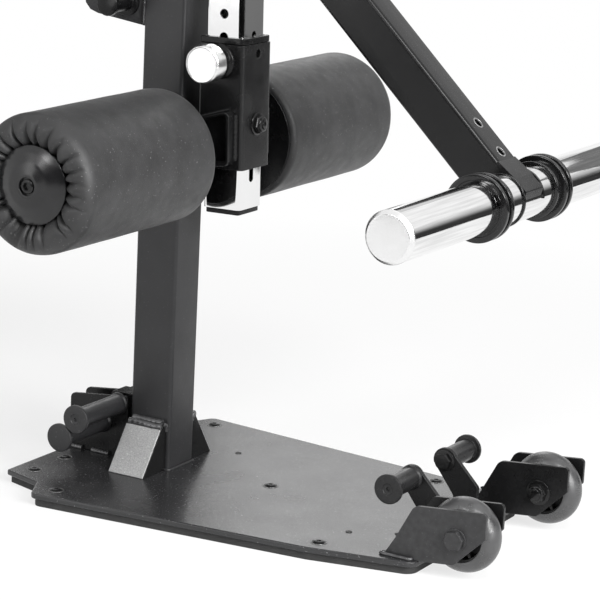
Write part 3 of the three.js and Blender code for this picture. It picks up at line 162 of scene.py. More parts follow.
def fill(node: Node, inputs: Inputs) -> Node:
    """Sets or links a node's inputs.

    Args:
        node: The node.
        inputs: A value, or another node's socket, for each input's name or number.

    Returns:
        The same node.
    """
    for key, value in inputs.items():
        if isinstance(value, Socket):
            node.id_data.links.new(value, node.inputs[key])
        else:
            node.inputs[key].default_value = value
    return node


def add_node(tree: Tree, kind: str, inputs: Optional[Inputs] = None, **settings: object) -> Node:
    """Adds a node to a tree.

    Args:
        tree: The tree.
        kind: The node's type.
        inputs: Its inputs, as fill() takes them.
        settings: Its properties.

    Returns:
        The new node.
    """
    node = tree.nodes.new(kind)
    for key, value in settings.items():
        setattr(node, key, value)
    return fill(node, inputs or {})


def mapped(value: Socket, span: Span, into: Span, curve: str = "LINEAR") -> Socket:
    """Maps one range of values onto another, clamped at its ends.

    Args:
        value: The value.
        span: The range it comes from.
        into: The range it goes to.
        curve: How it runs between the ends.

    Returns:
        The new value.
    """
    inputs: Inputs = {"Value": value, "From Min": span[0], "From Max": span[1]}
    inputs.update({"To Min": into[0], "To Max": into[1]})
    node = add_node(value.id_data, "ShaderNodeMapRange", inputs, interpolation_type=curve)
    return node.outputs["Result"]


def new_material(title: str) -> Material:
    """Starts a node material.

    Args:
        title: Its name.

    Returns:
        The material.
    """
    material = bpy.data.materials.new(title)
    material.use_nodes = True
    return material


@dataclass(frozen=True)
class Finish:
    """A surface finish shared by every piece made of it.

    Grain is the fine relief of the surface, mottle its slow change of colour, which streak
    draws out along Y, and fold shade is painted shade in the valleys of pieces that carry it.
    """

    title: str
    slot: Slot
    color: tuple[float, float, float]
    roughness: float
    metallic: float = 0.0
    grain_size: float = 0.8
    grain_height: float = 0.0
    mottle: float = 0.0
    mottle_size: float = 30.0
    streak: float = 1.0
    roughness_swing: float = 0.06
    specks: float = 0.0
    specular: float = 0.5
    sheen: float = 0.0
    fold: bool = False

    made: ClassVar[dict[str, Material]] = {}
    ramp_ends: ClassVar[Span] = (0.32, 0.68)
    speck_size: ClassVar[float] = 1.7
    speck_band: ClassVar[Span] = (0.722, 0.748)
    # How dark the painted shade in the folds gets.
    fold_depth: ClassVar[float] = 0.95

    def material(self) -> Material:
        """The node material of this finish, built once.

        Returns:
            The Blender material.
        """
        if self.title not in Finish.made:
            Finish.made[self.title] = self._build()
        return Finish.made[self.title]

    def _build(self) -> Material:
        """Builds the node tree of the material.

        Returns:
            The new material.
        """
        material = new_material(self.title)
        tree = material.node_tree
        place = add_node(tree, "ShaderNodeTexCoord").outputs["Object"]
        drawn = {0: place, 1: (1, 1 / self.streak, 1)}
        place = add_node(tree, "ShaderNodeVectorMath", drawn, operation="MULTIPLY").outputs[0]
        low = max(0.02, self.roughness - self.roughness_swing)
        high = self.roughness + self.roughness_swing
        wander = self._noise(place, self.mottle_size * 0.6)
        shader = fill(tree.nodes["Principled BSDF"], {
            "Metallic": self.metallic, "Specular IOR Level": self.specular,
            "Sheen Weight": self.sheen, "Base Color": self._color(place),
            "Roughness": mapped(wander, (0.3, 0.7), (low, high)),
        })
        if self.grain_height > 0:
            relief = {"Distance": self.grain_height * MM,
                      "Height": self._noise(place, self.grain_size)}
            bump = add_node(tree, "ShaderNodeBump", relief)
            fill(shader, {"Normal": bump.outputs["Normal"]})
        return material

    def _noise(self, place: Socket, size: float, detail: float = 3.0) -> Socket:
        """A noise pattern.

        Args:
            place: The coordinates the pattern lies in.
            size: The size of one lump, in millimetres.
            detail: How many finer layers are added.

        Returns:
            The pattern's value, from 0 to 1.
        """
        inputs = {"Vector": place, "Scale": 1 / (size * MM), "Detail": detail}
        return add_node(place.id_data, "ShaderNodeTexNoise", inputs).outputs["Fac"]

    def _tint(self, factor: float, lift: float = 0.0) -> Corner:
        """The finish's colour made lighter or darker."""
        return (*(c * factor + lift for c in self.color), 1.0)

    def _over(self, under: Socket, mask: Socket, tint: Corner) -> Socket:
        """Lays a plain colour over another.

        Args:
            under: The colour below.
            mask: How much of the new colour shows.
            tint: The new colour.

        Returns:
            The mixed colour.
        """
        inputs = {"Factor": mask, "A": under, "B": tint}
        return add_node(under.id_data, "ShaderNodeMix", inputs, data_type="RGBA").outputs["Result"]

    def _color(self, place: Socket) -> Socket:
        """Mixes the base colour: mottling, specks and painted shade in the folds.

        Args:
            place: The coordinates the patterns lie in.

        Returns:
            The colour.
        """
        tree = place.id_data
        ramp = add_node(tree, "ShaderNodeValToRGB", {"Fac": self._noise(place, self.mottle_size)})
        shades = (1 - self.mottle, 1 + self.mottle)
        for stop, position, shade in zip(ramp.color_ramp.elements, self.ramp_ends, shades):
            stop.position, stop.color = position, self._tint(shade)
        color = ramp.outputs["Color"]
        if self.specks > 0:
            cells = self._noise(place, self.speck_size, 1.0)
            mask = mapped(cells, self.speck_band, (0.0, self.specks))
            color = self._over(color, mask, self._tint(4, 0.3))
        # Painted shade: the fold attribute darkens the pleat valleys and the gap at the roller cap.
        if self.fold:
            depth = add_node(tree, "ShaderNodeAttribute", attribute_name="fold").outputs["Fac"]
            mask = mapped(depth, (0.0, 1.0), (0.0, self.fold_depth))
            color = self._over(color, mask, self._tint(0.12))
        return color


POWDER_COAT = Finish(
    "satin black powder coat", Slot.BLACK_PAINT, (0.019, 0.019, 0.02), 0.36,
    grain_size=1.1, grain_height=0.10, mottle=0.14, mottle_size=45.0, specks=0.14,
    specular=0.35,
)
LEVER_COAT = Finish(
    "smooth black powder coat", Slot.BLACK_PAINT, (0.0065, 0.0065, 0.0067), 0.24,
    grain_size=0.9, grain_height=0.03, mottle=0.1, mottle_size=50.0, specular=0.36,
)
ARM_COAT = Finish(
    "gloss black arm coat", Slot.BLACK_PAINT, (0.006, 0.006, 0.0062), 0.2,
    grain_size=0.9, grain_height=0.04, mottle=0.1, mottle_size=30.0, specular=0.28,
)
# A lighter grey copy of the black coat for the near outer plate: scuffing and painted light
# together.
SCUFFED_LIT_BRACKET_COAT = Finish(
    "grey black powder coat", Slot.BLACK_PAINT, (0.03, 0.03, 0.031), 0.34,
    grain_size=1.0, grain_height=0.12, mottle=0.2, mottle_size=6.0, specks=0.16,
    specular=0.3,
)
SCREW_BLACK = Finish(
    "blackened screw head", Slot.ZINC, (0.004, 0.004, 0.0042), 0.3, metallic=0.1,
    grain_size=0.7, grain_height=0.03, mottle=0.2, mottle_size=3.0, specular=0.25,
)
PEG_COAT = Finish(
    "satin peg coat", Slot.BLACK_PAINT, (0.013, 0.013, 0.0134), 0.28,
    grain_size=1.0, grain_height=0.05, mottle=0.16, mottle_size=20.0, specular=0.3,
)
FORK_COAT = Finish(
    "dark fork coat", Slot.BLACK_PAINT, (0.008, 0.008, 0.0083), 0.26,
    grain_size=1.0, grain_height=0.05, mottle=0.16, mottle_size=20.0, specular=0.25,
)
PLATE_COAT = Finish(
    "textured floor plate coat", Slot.PLATE_PAINT, (0.02, 0.02, 0.021), 0.25,
    grain_size=1.3, grain_height=0.06, mottle=0.1, mottle_size=90.0, roughness_swing=0.03,
    specks=0.6,
)
# Light grey stands in for the light that the sheet's sloped black face reflects: painted
# reflection.
GUSSET_COAT = Finish(
    "worn sheet coat", Slot.BLACK_PAINT, (0.3, 0.3, 0.3), 0.4, metallic=0.3,
    grain_size=0.8, grain_height=0.2, mottle=0.22, mottle_size=1.3, specks=0.3,
)
WELD_COAT = Finish(
    "painted weld bead", Slot.BLACK_PAINT, (0.07, 0.07, 0.072), 0.17, metallic=0.5,
    grain_size=2.4, grain_height=0.06, mottle=0.3, mottle_size=5.0, specular=0.9,
)
# Bright metal rings that stand for the thin highlight on hole and screw-seat edges: painted
# highlight.
RIM_HIGHLIGHT_STEEL = Finish(
    "bright pressed rim", Slot.BLACK_PAINT, (0.3, 0.3, 0.3), 0.3, metallic=0.8,
    grain_size=1.0, grain_height=0.05, mottle=0.2, mottle_size=3.0,
)
CHROME = Finish(
    "polished chrome", Slot.CHROME, (0.86, 0.86, 0.86), 0.05, metallic=1.0,
    mottle=0.03, mottle_size=50.0, roughness_swing=0.02,
)
DRAWN_CHROME = Finish(
    "drawn chrome tube", Slot.CHROME, (0.82, 0.82, 0.82), 0.07, metallic=1.0, streak=30.0,
    grain_size=1.5, grain_height=0.01, mottle=0.12, mottle_size=2.5, roughness_swing=0.05,
)
TURNED_CHROME = Finish(
    "turned chrome face", Slot.CHROME, (0.84, 0.84, 0.84), 0.24, metallic=1.0,
    grain_size=3.0, grain_height=0.004, mottle=0.02, mottle_size=9.0, roughness_swing=0.02,
)
ZINC = Finish(
    "zinc plated steel", Slot.ZINC, (0.3, 0.3, 0.3), 0.26, metallic=1.0,
    grain_size=0.9, grain_height=0.01, mottle=0.12, mottle_size=4.0,
)
BLACK_OXIDE = Finish(
    "black oxide screw", Slot.ZINC, (0.008, 0.008, 0.0082), 0.09, metallic=0.1,
    grain_size=0.7, grain_height=0.02, mottle=0.2, mottle_size=3.0, specular=0.4,
    roughness_swing=0.03,
)
MAT_RUBBER = Finish(
    "floor mat rubber", Slot.RUBBER, (0.018, 0.018, 0.018), 0.75,
    grain_size=1.6, grain_height=0.3, mottle=0.2, mottle_size=12.0,
)
GRIP_RUBBER = Finish(
    "moulded black rubber", Slot.RUBBER, (0.006, 0.006, 0.0062), 0.13,
    grain_size=0.7, grain_height=0.02, mottle=0.15, mottle_size=14.0, specular=0.5,
    roughness_swing=0.03,
)
TYRE_RUBBER = Finish(
    "satin tyre rubber", Slot.WHEEL_RUBBER, (0.032, 0.032, 0.033), 0.3,
    grain_size=0.8, grain_height=0.05, mottle=0.18, mottle_size=16.0, specular=1.0,
)
HUB_PLASTIC = Finish(
    "wheel hub plastic", Slot.WHEEL_RUBBER, (0.008, 0.008, 0.008), 0.45,
    grain_size=0.7, grain_height=0.05, mottle=0.1, mottle_size=12.0,
)
MOULDED_PLASTIC = Finish(
    "moulded black plastic", Slot.PLASTIC, (0.004, 0.004, 0.0042), 0.24,
    grain_size=0.6, grain_height=0.04, mottle=0.12, mottle_size=20.0, specular=0.25,
)
CAP_ENAMEL = Finish(
    "satin cap enamel", Slot.BLACK_PAINT, (0.008, 0.008, 0.0085), 0.22,
    grain_size=0.8, grain_height=0.012, mottle=0.12, mottle_size=18.0, specular=0.5,
    roughness_swing=0.03,
)
# Its fold shade is painted shade in the gathered pleats and next to the cap.
ROLLER_COVER = Finish(
    "soft roller vinyl", Slot.FOAM_COVER, (0.019, 0.019, 0.0195), 0.52,
    grain_size=1.0, grain_height=0.14, mottle=0.24, mottle_size=22.0,
    specks=0.3, specular=0.4, sheen=0.05, fold=True,
)
PAD_VINYL = Finish(
    "upholstery vinyl", Slot.VINYL, (0.03, 0.03, 0.031), 0.55,
    grain_size=1.3, grain_height=0.2, mottle=0.14, mottle_size=24.0, sheen=0.1,
)
THREAD = Finish(
    "upholstery thread", Slot.VINYL, (0.09, 0.09, 0.092), 0.7,
    grain_size=0.4, grain_height=0.05, mottle=0.2, mottle_size=2.0,
)


# ------------------------------------------------------------------ mesh tools


def fillet(corners: Sequence[Corner], steps: int = 7) -> list[Span]:
    """Rounds the corners of a closed outline.

    Args:
        corners: Points (u, v) or (u, v, radius).
        steps: Segments in each rounded corner.

    Returns:
        The outline's points.
    """
    outline: list[Span] = []
    for i, corner in enumerate(corners):
        here = Vector(corner[:2])
        radius = corner[2] if len(corner) > 2 else 0.0
        back = Vector(corners[i - 1][:2]) - here
        ahead = Vector(corners[(i + 1) % len(corners)][:2]) - here
        if radius <= 0 or back.length < 1e-6 or ahead.length < 1e-6:
            outline.append((here.x, here.y))
            continue
        half = back.angle(ahead) / 2
        cut = min(radius / math.tan(half), back.length * 0.49, ahead.length * 0.49)
        radius = cut * math.tan(half)
        bisector = (back.normalized() + ahead.normalized()).normalized()
        centre = here + bisector * (radius / math.sin(half))
        start = here + back.normalized() * cut - centre
        end = here + ahead.normalized() * cut - centre
        turn = start.angle_signed(end)
        for step in range(steps + 1):
            arm = start.copy()
            arm.rotate(Matrix.Rotation(-turn * step / steps, 2))
            outline.append((centre.x + arm.x, centre.y + arm.y))
    return outline


def rectangle(u0: float, u1: float, v0: float, v1: float, radius: float = 0.0) -> list[Corner]:
    """The corners of a rectangle, with one radius for all four."""
    return [(u0, v0, radius), (u1, v0, radius), (u1, v1, radius), (u0, v1, radius)]


def block(half_u: float, half_v: float, radius: float = 0.0) -> list[Corner]:
    """The corners of a rectangle around the origin, from its half sizes."""
    return rectangle(-half_u, half_u, -half_v, half_v, radius)


def washer(inner: float, outer: float, low: float, high: float, edge: float = 0.0) -> list[Corner]:
    """The half section of a washer, or of a disc if inner is 0, with one rounded edge."""
    return [(inner, low), (outer, low), (outer, high, edge), (inner, high)]


def arc(centre: Span, radius: float, start: float, end: float, steps: int = 24) -> list[Corner]:
    """Points on an arc, with its angles in degrees counted from the first axis."""
    angles = (math.radians(start + (end - start) * k / steps) for k in range(steps + 1))
    return [(centre[0] + radius * math.cos(a), centre[1] + radius * math.sin(a)) for a in angles]


def mirrored(corners: Sequence[Corner], sign: int) -> list[Corner]:
    """An outline with its first axis turned round for the near side."""
    return [(sign * corner[0], *corner[1:]) for corner in corners]


def placed(name: str, data: Optional[bpy.types.ID]) -> Piece:
    """Puts data into the scene.

    Args:
        name: The new object's name.
        data: What it holds.

    Returns:
        The new object.
    """
    made = bpy.data.objects.new(name, data)
    bpy.context.scene.collection.objects.link(made)
    return made


def plain_mesh(
    name: str, points: Path, edges: Iterable[Corner] = (), faces: Iterable[Corner] = ()
) -> Piece:
    """Builds an object from bare points, in metres.

    Args:
        name: Its name.
        points: Its points.
        edges: Its edges, as pairs of point numbers.
        faces: Its faces, as rows of point numbers.

    Returns:
        The object.
    """
    data = bpy.data.meshes.new(name)
    data.from_pydata(points, list(edges), list(faces))
    return placed(name, data)


class Solid:
    """A mesh that grows body by body, in millimetres.

    A sign of -1 turns a body round along its axis, for the near side.
    """

    def __init__(self) -> None:
        """Starts an empty mesh."""
        self.mesh = bmesh.new()

    def prism(
        self, corners: Sequence[Corner], plane: Plane, low: float, high: float, steps: int = 7
    ) -> "Solid":
        """Adds an outline pulled straight through a thickness.

        Args:
            corners: The outline, as fillet() takes it.
            plane: The plane the outline lies in.
            low: Where the thickness starts.
            high: Where it ends.
            steps: Segments in each rounded corner.

        Returns:
            This solid.
        """
        outline = fillet(corners, steps)
        floor = [self.mesh.verts.new(plane.point(u, v, low)) for u, v in outline]
        roof = [self.mesh.verts.new(plane.point(u, v, high)) for u, v in outline]
        self.mesh.faces.new(floor)
        self.mesh.faces.new(roof[::-1])
        for i in range(len(outline)):
            j = (i + 1) % len(outline)
            self.mesh.faces.new((floor[i], roof[i], roof[j], floor[j]))
        return self

    def turned(
        self, corners: Sequence[Corner], centre: Spot, axis: Axis = Axis.Y, around: int = 64,
        steps: int = 4, start: float = 0.0, sign: int = 1,
    ) -> "Solid":
        """Adds a turned body.

        Args:
            corners: The half section, as (radius, along) or (radius, along, fillet).
            centre: A point on the axis.
            axis: The axis it is turned about.
            around: Segments around the axis.
            steps: Segments in each rounded corner of the section.
            start: The angle of the first segment, in degrees.
            sign: The way it points along the axis.

        Returns:
            This solid.
        """
        rings: list[list[bmesh.types.BMVert]] = []
        for radius, along in fillet([(c[0], sign * c[1], *c[2:]) for c in corners], steps):
            ring = []
            for k in range(1 if radius < SAME_SPOT else around):
                angle = math.radians(start) + 2 * math.pi * k / around
                c, s = radius * math.cos(angle), radius * math.sin(angle)
                ring.append(self.mesh.verts.new(axis.point(along, c, s) + Vector(centre)))
            rings.append(ring)
        for ring, other in zip(rings, rings[1:] + rings[:1]):
            if len(ring) == 1 and len(other) == 1:
                continue
            for k in range(around):
                j = (k + 1) % around
                loop = [ring[k % len(ring)], ring[j % len(ring)]]
                loop += [other[j % len(other)], other[k % len(other)]]
                self.mesh.faces.new(list(dict.fromkeys(loop)))
        return self

    def rod(
        self, radius: float, centre: Spot, low: float, high: float, axis: Axis = Axis.Y,
        around: int = 48, edge: float = 0.0, sign: int = 1,
    ) -> "Solid":
        """Adds a round bar.

        Args:
            radius: Its radius.
            centre: A point on its axis.
            low: Where it starts along the axis.
            high: Where it ends.
            axis: Its axis.
            around: Segments around it.
            edge: The rounding of its ends.
            sign: The way it points along the axis.

        Returns:
            This solid.
        """
        low, high = sorted((sign * low, sign * high))
        section = [(0.0, low), (radius, low, edge), (radius, high, edge), (0.0, high)]
        return self.turned(section, centre, axis, around, steps=3)

    def hexagon(
        self, radius: float, centre: Spot, low: float, high: float, axis: Axis = Axis.Y,
        sign: int = 1,
    ) -> "Solid":
        """Adds a hexagonal head with its corners chamfered on both faces.

        Args:
            radius: Its radius over the corners.
            centre: A point on its axis.
            low: Where it starts along the axis.
            high: Where it ends.
            axis: Its axis.
            sign: The way it points along the axis.

        Returns:
            This solid.
        """
        low, high = sorted((sign * low, sign * high))
        small, chamfer = radius * 0.93, radius * 0.12
        section = [(0.0, low), (small, low), (radius, low + chamfer)]
        section += [(radius, high - chamfer), (small, high), (0.0, high)]
        return self.turned(section, centre, axis, around=6, steps=1, start=12.0)

    def moved(self, by: Matrix) -> "Solid":
        """Moves everything added so far."""
        bmesh.ops.transform(self.mesh, matrix=by, verts=self.mesh.verts)
        return self

    def object(self, name: str) -> Piece:
        """Turns the mesh into an object with clean outward faces.

        Args:
            name: The object's name.

        Returns:
            The object, with its place in its mesh, in metres.
        """
        bmesh.ops.remove_doubles(self.mesh, verts=self.mesh.verts, dist=SAME_SPOT)
        bmesh.ops.recalc_face_normals(self.mesh, faces=self.mesh.faces)
        self.mesh.transform(Matrix.Scale(MM, 4))
        data = bpy.data.meshes.new(name)
        self.mesh.to_mesh(data)
        self.mesh.free()
        return placed(name, data)

    def dressed(
        self, name: str, finish: Finish, body: str = FRAME, nodes: Iterable[str] = (),
        ease: float = 0.0, segments: int = 2, by: Matrix = REST, less: Sequence["Solid"] = (),
    ) -> Piece:
        """Turns the solid into a finished piece.

        Args:
            name: The piece's name.
            finish: Its finish.
            body: The body it moves with.
            nodes: The CAD nodes it stands for.
            ease: The rounding of its edges, or 0 for none.
            segments: The segments of that rounding.
            by: The frame that the solid and what is cut from it are drawn in.
            less: What is cut from it, one after the other.

        Returns:
            The piece.
        """
        piece = self.moved(by).object(name)
        carved(piece, *(cutter.moved(by) for cutter in less))
        return fitted(eased(piece, ease, segments), finish, body, nodes)


def baked(obj: Piece) -> Piece:
    """Replaces an object's mesh by what its modifiers make of it.

    Args:
        obj: The object, whose modifiers are removed.

    Returns:
        The same object.
    """
    graph = bpy.context.evaluated_depsgraph_get()
    made = bpy.data.meshes.new_from_object(obj.evaluated_get(graph), depsgraph=graph)
    obj.modifiers.clear()
    obj.data = made
    return obj


def modified(obj: Piece, kind: str, **settings: object) -> Piece:
    """Runs one modifier on an object and keeps the result.

    Args:
        obj: The object.
        kind: The modifier's type.
        settings: Its properties.

    Returns:
        The same object.
    """
    modifier = obj.modifiers.new(kind.lower(), kind)
    for key, value in settings.items():
        setattr(modifier, key, value)
    return baked(obj)


def eased(obj: Piece, width: float, segments: int = 2) -> Piece:
    """Rounds the sharp edges of an object and shades it smoothly between them.

    Args:
        obj: The object.
        width: The width of the rounding, in millimetres, or 0 for none.
        segments: Its segments.

    Returns:
        The same object.
    """
    obj.data.shade_smooth()
    if width > 0:
        return modified(
            obj, "BEVEL", limit_method="ANGLE", angle_limit=SHARP, width=width * MM,
            segments=segments, harden_normals=True, use_clamp_overlap=True,
        )
    obj.data.set_sharp_from_angle(angle=SHARP)
    return obj


def carved(obj: Piece, *cutters: Solid) -> Piece:
    """Cuts solids out of an object.

    Args:
        obj: The object to cut.
        cutters: What is cut away, one after the other.

    Returns:
        The same object.
    """
    for cutter in cutters:
        tool = cutter.object("cutter")
        modified(obj, "BOOLEAN", object=tool, solver="EXACT")
        bpy.data.objects.remove(tool)
    return obj


def fitted(obj: Piece, finish: Finish, body: str = FRAME, nodes: Iterable[str] = ()) -> Piece:
    """Paints a finished piece and fastens it to a body of the frame.

    Args:
        obj: The piece.
        finish: Its finish.
        body: The body it moves with.
        nodes: The CAD nodes it stands for.

    Returns:
        The same object.
    """
    obj.data.materials.clear()
    obj.data.materials.append(finish.material())
    for polygon in obj.data.polygons:
        polygon.material_index = 0
    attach(obj, body)
    if nodes:
        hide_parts(*nodes)
    LOG.info("%s: %d faces, on %s", obj.name, len(obj.data.polygons), body)
    return obj


def adopted(node: str, finish: Finish, body: str = FRAME, width: float = 0.9) -> Piece:
    """Gives a CAD node's own shape rounded edges and a finish.

    Args:
        node: The CAD node.
        finish: The finish.
        body: The body the node belongs to.
        width: The rounding of its edges, in millimetres.

    Returns:
        The new piece.
    """
    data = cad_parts[node].data.copy()
    mesh = bmesh.new()
    mesh.from_mesh(data)
    bmesh.ops.remove_doubles(mesh, verts=mesh.verts, dist=SAME_CAD_SPOT)
    bmesh.ops.dissolve_limit(mesh, angle_limit=FLAT, verts=mesh.verts, edges=mesh.edges)
    mesh.to_mesh(data)
    mesh.free()
    return fitted(eased(placed(f"{node}_shell", data), width), finish, body, [node])


# ------------------------------------------------------------------ geometry nodes


class GrowthTree:
    """A Geometry Nodes tree with named number inputs, for what repeats or follows a path."""

    def __init__(self, name: str, numbers: dict[str, float]) -> None:
        """Starts a tree.

        Args:
            name: The tree's name.
            numbers: Each input's name and default value.
        """
        self.tree = bpy.data.node_groups.new(name, "GeometryNodeTree")
        face = self.tree.interface
        for way in ("INPUT", "OUTPUT"):
            face.new_socket("Geometry", in_out=way, socket_type="NodeSocketGeometry")
        self.sockets: dict[str, str] = {}
        for label, value in numbers.items():
            kind = "NodeSocketInt" if isinstance(value, int) else "NodeSocketFloat"
            socket = face.new_socket(label, in_out="INPUT", socket_type=kind)
            socket.default_value = value
            self.sockets[label] = socket.identifier
        self.given = self.add("NodeGroupInput").outputs

    def add(self, kind: str, inputs: Optional[Inputs] = None, **settings: object) -> Node:
        """Adds a node, as add_node() does."""
        return add_node(self.tree, kind, inputs, **settings)

    def math(self, operation: str, *terms: object) -> Socket:
        """Adds a sum on sockets or plain numbers."""
        return self.add("ShaderNodeMath", dict(enumerate(terms)), operation=operation).outputs[0]

    def close(self, grown: Socket, finish: Finish) -> None:
        """Ends the tree: real geometry, smooth shading and a material.

        Args:
            grown: What the tree has grown.
            finish: Its finish.
        """
        real = self.add("GeometryNodeRealizeInstances", {0: grown})
        dress: Inputs = {"Geometry": real.outputs[0], "Material": finish.material()}
        painted = self.add("GeometryNodeSetMaterial", dress)
        self.add("NodeGroupOutput", {"Geometry": painted.outputs[0]})

    def grow(self, seed: Piece, name: str, values: Optional[dict[str, float]] = None) -> Piece:
        """Runs the tree on an object and keeps the result as a plain mesh.

        Args:
            seed: The points or path that the tree starts from, which is used up.
            name: The new piece's name.
            values: The inputs that differ from their defaults.

        Returns:
            The new piece.
        """
        modifier = seed.modifiers.new(self.tree.name, "NODES")
        modifier.node_group = self.tree
        for label, value in (values or {}).items():
            modifier[self.sockets[label]] = value
        baked(seed)
        seed.name = seed.data.name = name
        return seed


def path_object(paths: Sequence[Path], closed: bool = False) -> Piece:
    """Builds an object that holds only lines, as the seed of a tree.

    Args:
        paths: The lines' points, in millimetres.
        closed: Whether each line closes on itself.

    Returns:
        The object.
    """
    points: list[Vector] = []
    edges: list[Corner] = []
    for path in paths:
        first = len(points)
        points += [Vector(p) * MM for p in path]
        edges += [(k, k + 1) for k in range(first, len(points) - 1)]
        if closed:
            edges.append((len(points) - 1, first))
    return plain_mesh("path", points, edges)


class BeadTree(GrowthTree):
    """A round bead along a path, with ripples, for welds and piping."""

    def __init__(self, name: str, finish: Finish) -> None:
        """Builds the tree.

        Args:
            name: Its name.
            finish: The beads' finish.
        """
        numbers = {"Radius": 0.002, "Pitch": 0.002, "Ripple": 0.1, "Wander": 0.15, "Seed": 3}
        super().__init__(name, numbers)
        given = self.given
        line = self.add("GeometryNodeMeshToCurve", {"Mesh": given["Geometry"]}).outputs[0]
        parts = {"Curve": line, "Length": self.math("MULTIPLY", given["Pitch"], 0.25)}
        fine = self.add("GeometryNodeResampleCurve", parts, mode="LENGTH")
        along = self.add("GeometryNodeSplineParameter").outputs["Length"]
        turns = self.math("DIVIDE", along, given["Pitch"])
        wave = self.math("SINE", self.math("MULTIPLY", turns, 2 * math.pi))
        ripple = self.math("MULTIPLY", wave, given["Ripple"])
        lumps = self.add(
            "ShaderNodeTexNoise", {"Scale": 260.0, "W": given["Seed"]}, noise_dimensions="4D"
        )
        wander = self.math("SUBTRACT", lumps.outputs["Fac"], 0.5)
        wander = self.math("MULTIPLY", wander, given["Wander"])
        swell = self.math("ADD", self.math("ADD", ripple, wander), 1.0)
        sized = self.add("GeometryNodeSetCurveRadius", {"Curve": fine.outputs[0], "Radius": swell})
        ring = self.add(
            "GeometryNodeCurvePrimitiveCircle", {"Resolution": 12, "Radius": given["Radius"]}
        )
        skin = self.add("GeometryNodeCurveToMesh", {
            "Curve": sized.outputs[0], "Profile Curve": ring.outputs[0], "Fill Caps": True,
            "Scale": self.add("GeometryNodeInputRadius").outputs[0],
        })
        self.close(skin.outputs[0], finish)

    def run(
        self, name: str, paths: Sequence[Path], body: str = FRAME, finish: Finish = WELD_COAT,
        closed: bool = False, moved: Matrix = REST, **values: float,
    ) -> Piece:
        """Lays beads on paths.

        Args:
            name: The piece's name.
            paths: The paths, in millimetres.
            body: The body the beads belong to.
            finish: The beads' finish.
            closed: Whether each path closes on itself.
            moved: Where the paths' frame lies.
            values: Inputs by lower-case name; lengths are in millimetres.

        Returns:
            The fitted piece.
        """
        lines = [[moved @ Vector(p) for p in path] for path in paths]
        lengths = ("radius", "pitch")
        numbers = {k.title(): v * (MM if k in lengths else 1) for k, v in values.items()}
        piece = self.grow(path_object(lines, closed), name, numbers)
        piece.data.shade_smooth()
        return fitted(piece, finish, body)


class FastenerTree(GrowthTree):
    """One fastener on every point of a seed."""

    def __init__(self, name: str, fastener: Piece, finish: Finish) -> None:
        """Builds the tree.

        Args:
            name: Its name.
            fastener: The fastener, which stands at the origin.
            finish: The fasteners' finish.
        """
        super().__init__(name, {"Scale": 1.0, "Turn": 0.9, "Seed": 5})
        given = self.given
        model = self.add("GeometryNodeObjectInfo", {"Object": fastener})
        chance = self.add(
            "FunctionNodeRandomValue", {3: given["Turn"], "Seed": given["Seed"]},
            data_type="FLOAT",
        )
        turn = self.add("ShaderNodeCombineXYZ", {"Z": chance.outputs[1]})
        spread = self.add("GeometryNodeInstanceOnPoints", {
            "Points": given["Geometry"], "Instance": model.outputs["Geometry"],
            "Rotation": turn.outputs[0], "Scale": given["Scale"],
        })
        self.close(spread.outputs[0], finish)


class SpokeTree(GrowthTree):
    """Straight ribs that stand around an axis."""

    def __init__(self, name: str, finish: Finish) -> None:
        """Builds the tree.

        Args:
            name: Its name.
            finish: The ribs' finish.
        """
        super().__init__(
            name, {"Count": 5, "Inner": 0.009, "Outer": 0.026, "Width": 0.003, "Depth": 0.01}
        )
        given = self.given
        length = self.math("SUBTRACT", given["Outer"], given["Inner"])
        middle = self.math("MULTIPLY", self.math("ADD", given["Outer"], given["Inner"]), 0.5)
        ring = self.add("GeometryNodeMeshCircle", {"Vertices": given["Count"], "Radius": middle})
        size = {"X": length, "Y": given["Width"], "Z": given["Depth"]}
        size = self.add("ShaderNodeCombineXYZ", size).outputs[0]
        rib = self.add("GeometryNodeMeshCube", {"Size": size})
        spot = self.add("GeometryNodeInputPosition").outputs[0]
        aim = self.add("FunctionNodeAlignRotationToVector", {"Vector": spot}, axis="X")
        spread = self.add("GeometryNodeInstanceOnPoints", {
            "Points": ring.outputs[0], "Instance": rib.outputs[0], "Rotation": aim.outputs[0],
        })
        self.close(spread.outputs[0], finish)


class StitchTree(GrowthTree):
    """Short threads laid end to end along a path."""

    def __init__(self, name: str, finish: Finish) -> None:
        """Builds the tree.

        Args:
            name: Its name.
            finish: The threads' finish.
        """
        super().__init__(name, {"Pitch": 0.006, "Length": 0.0042, "Thickness": 0.0007})
        given = self.given
        line = self.add("GeometryNodeMeshToCurve", {"Mesh": given["Geometry"]}).outputs[0]
        points = self.add(
            "GeometryNodeCurveToPoints", {"Curve": line, "Length": given["Pitch"]}, mode="LENGTH"
        )
        thread = self.add("GeometryNodeMeshCylinder", {
            "Vertices": 6, "Radius": given["Thickness"], "Depth": given["Length"],
        })
        spread = self.add("GeometryNodeInstanceOnPoints", {
            "Points": points.outputs["Points"], "Instance": thread.outputs["Mesh"],
            "Rotation": points.outputs["Rotation"],
        })
        self.close(spread.outputs[0], finish)


# ------------------------------------------------------------------ base and column


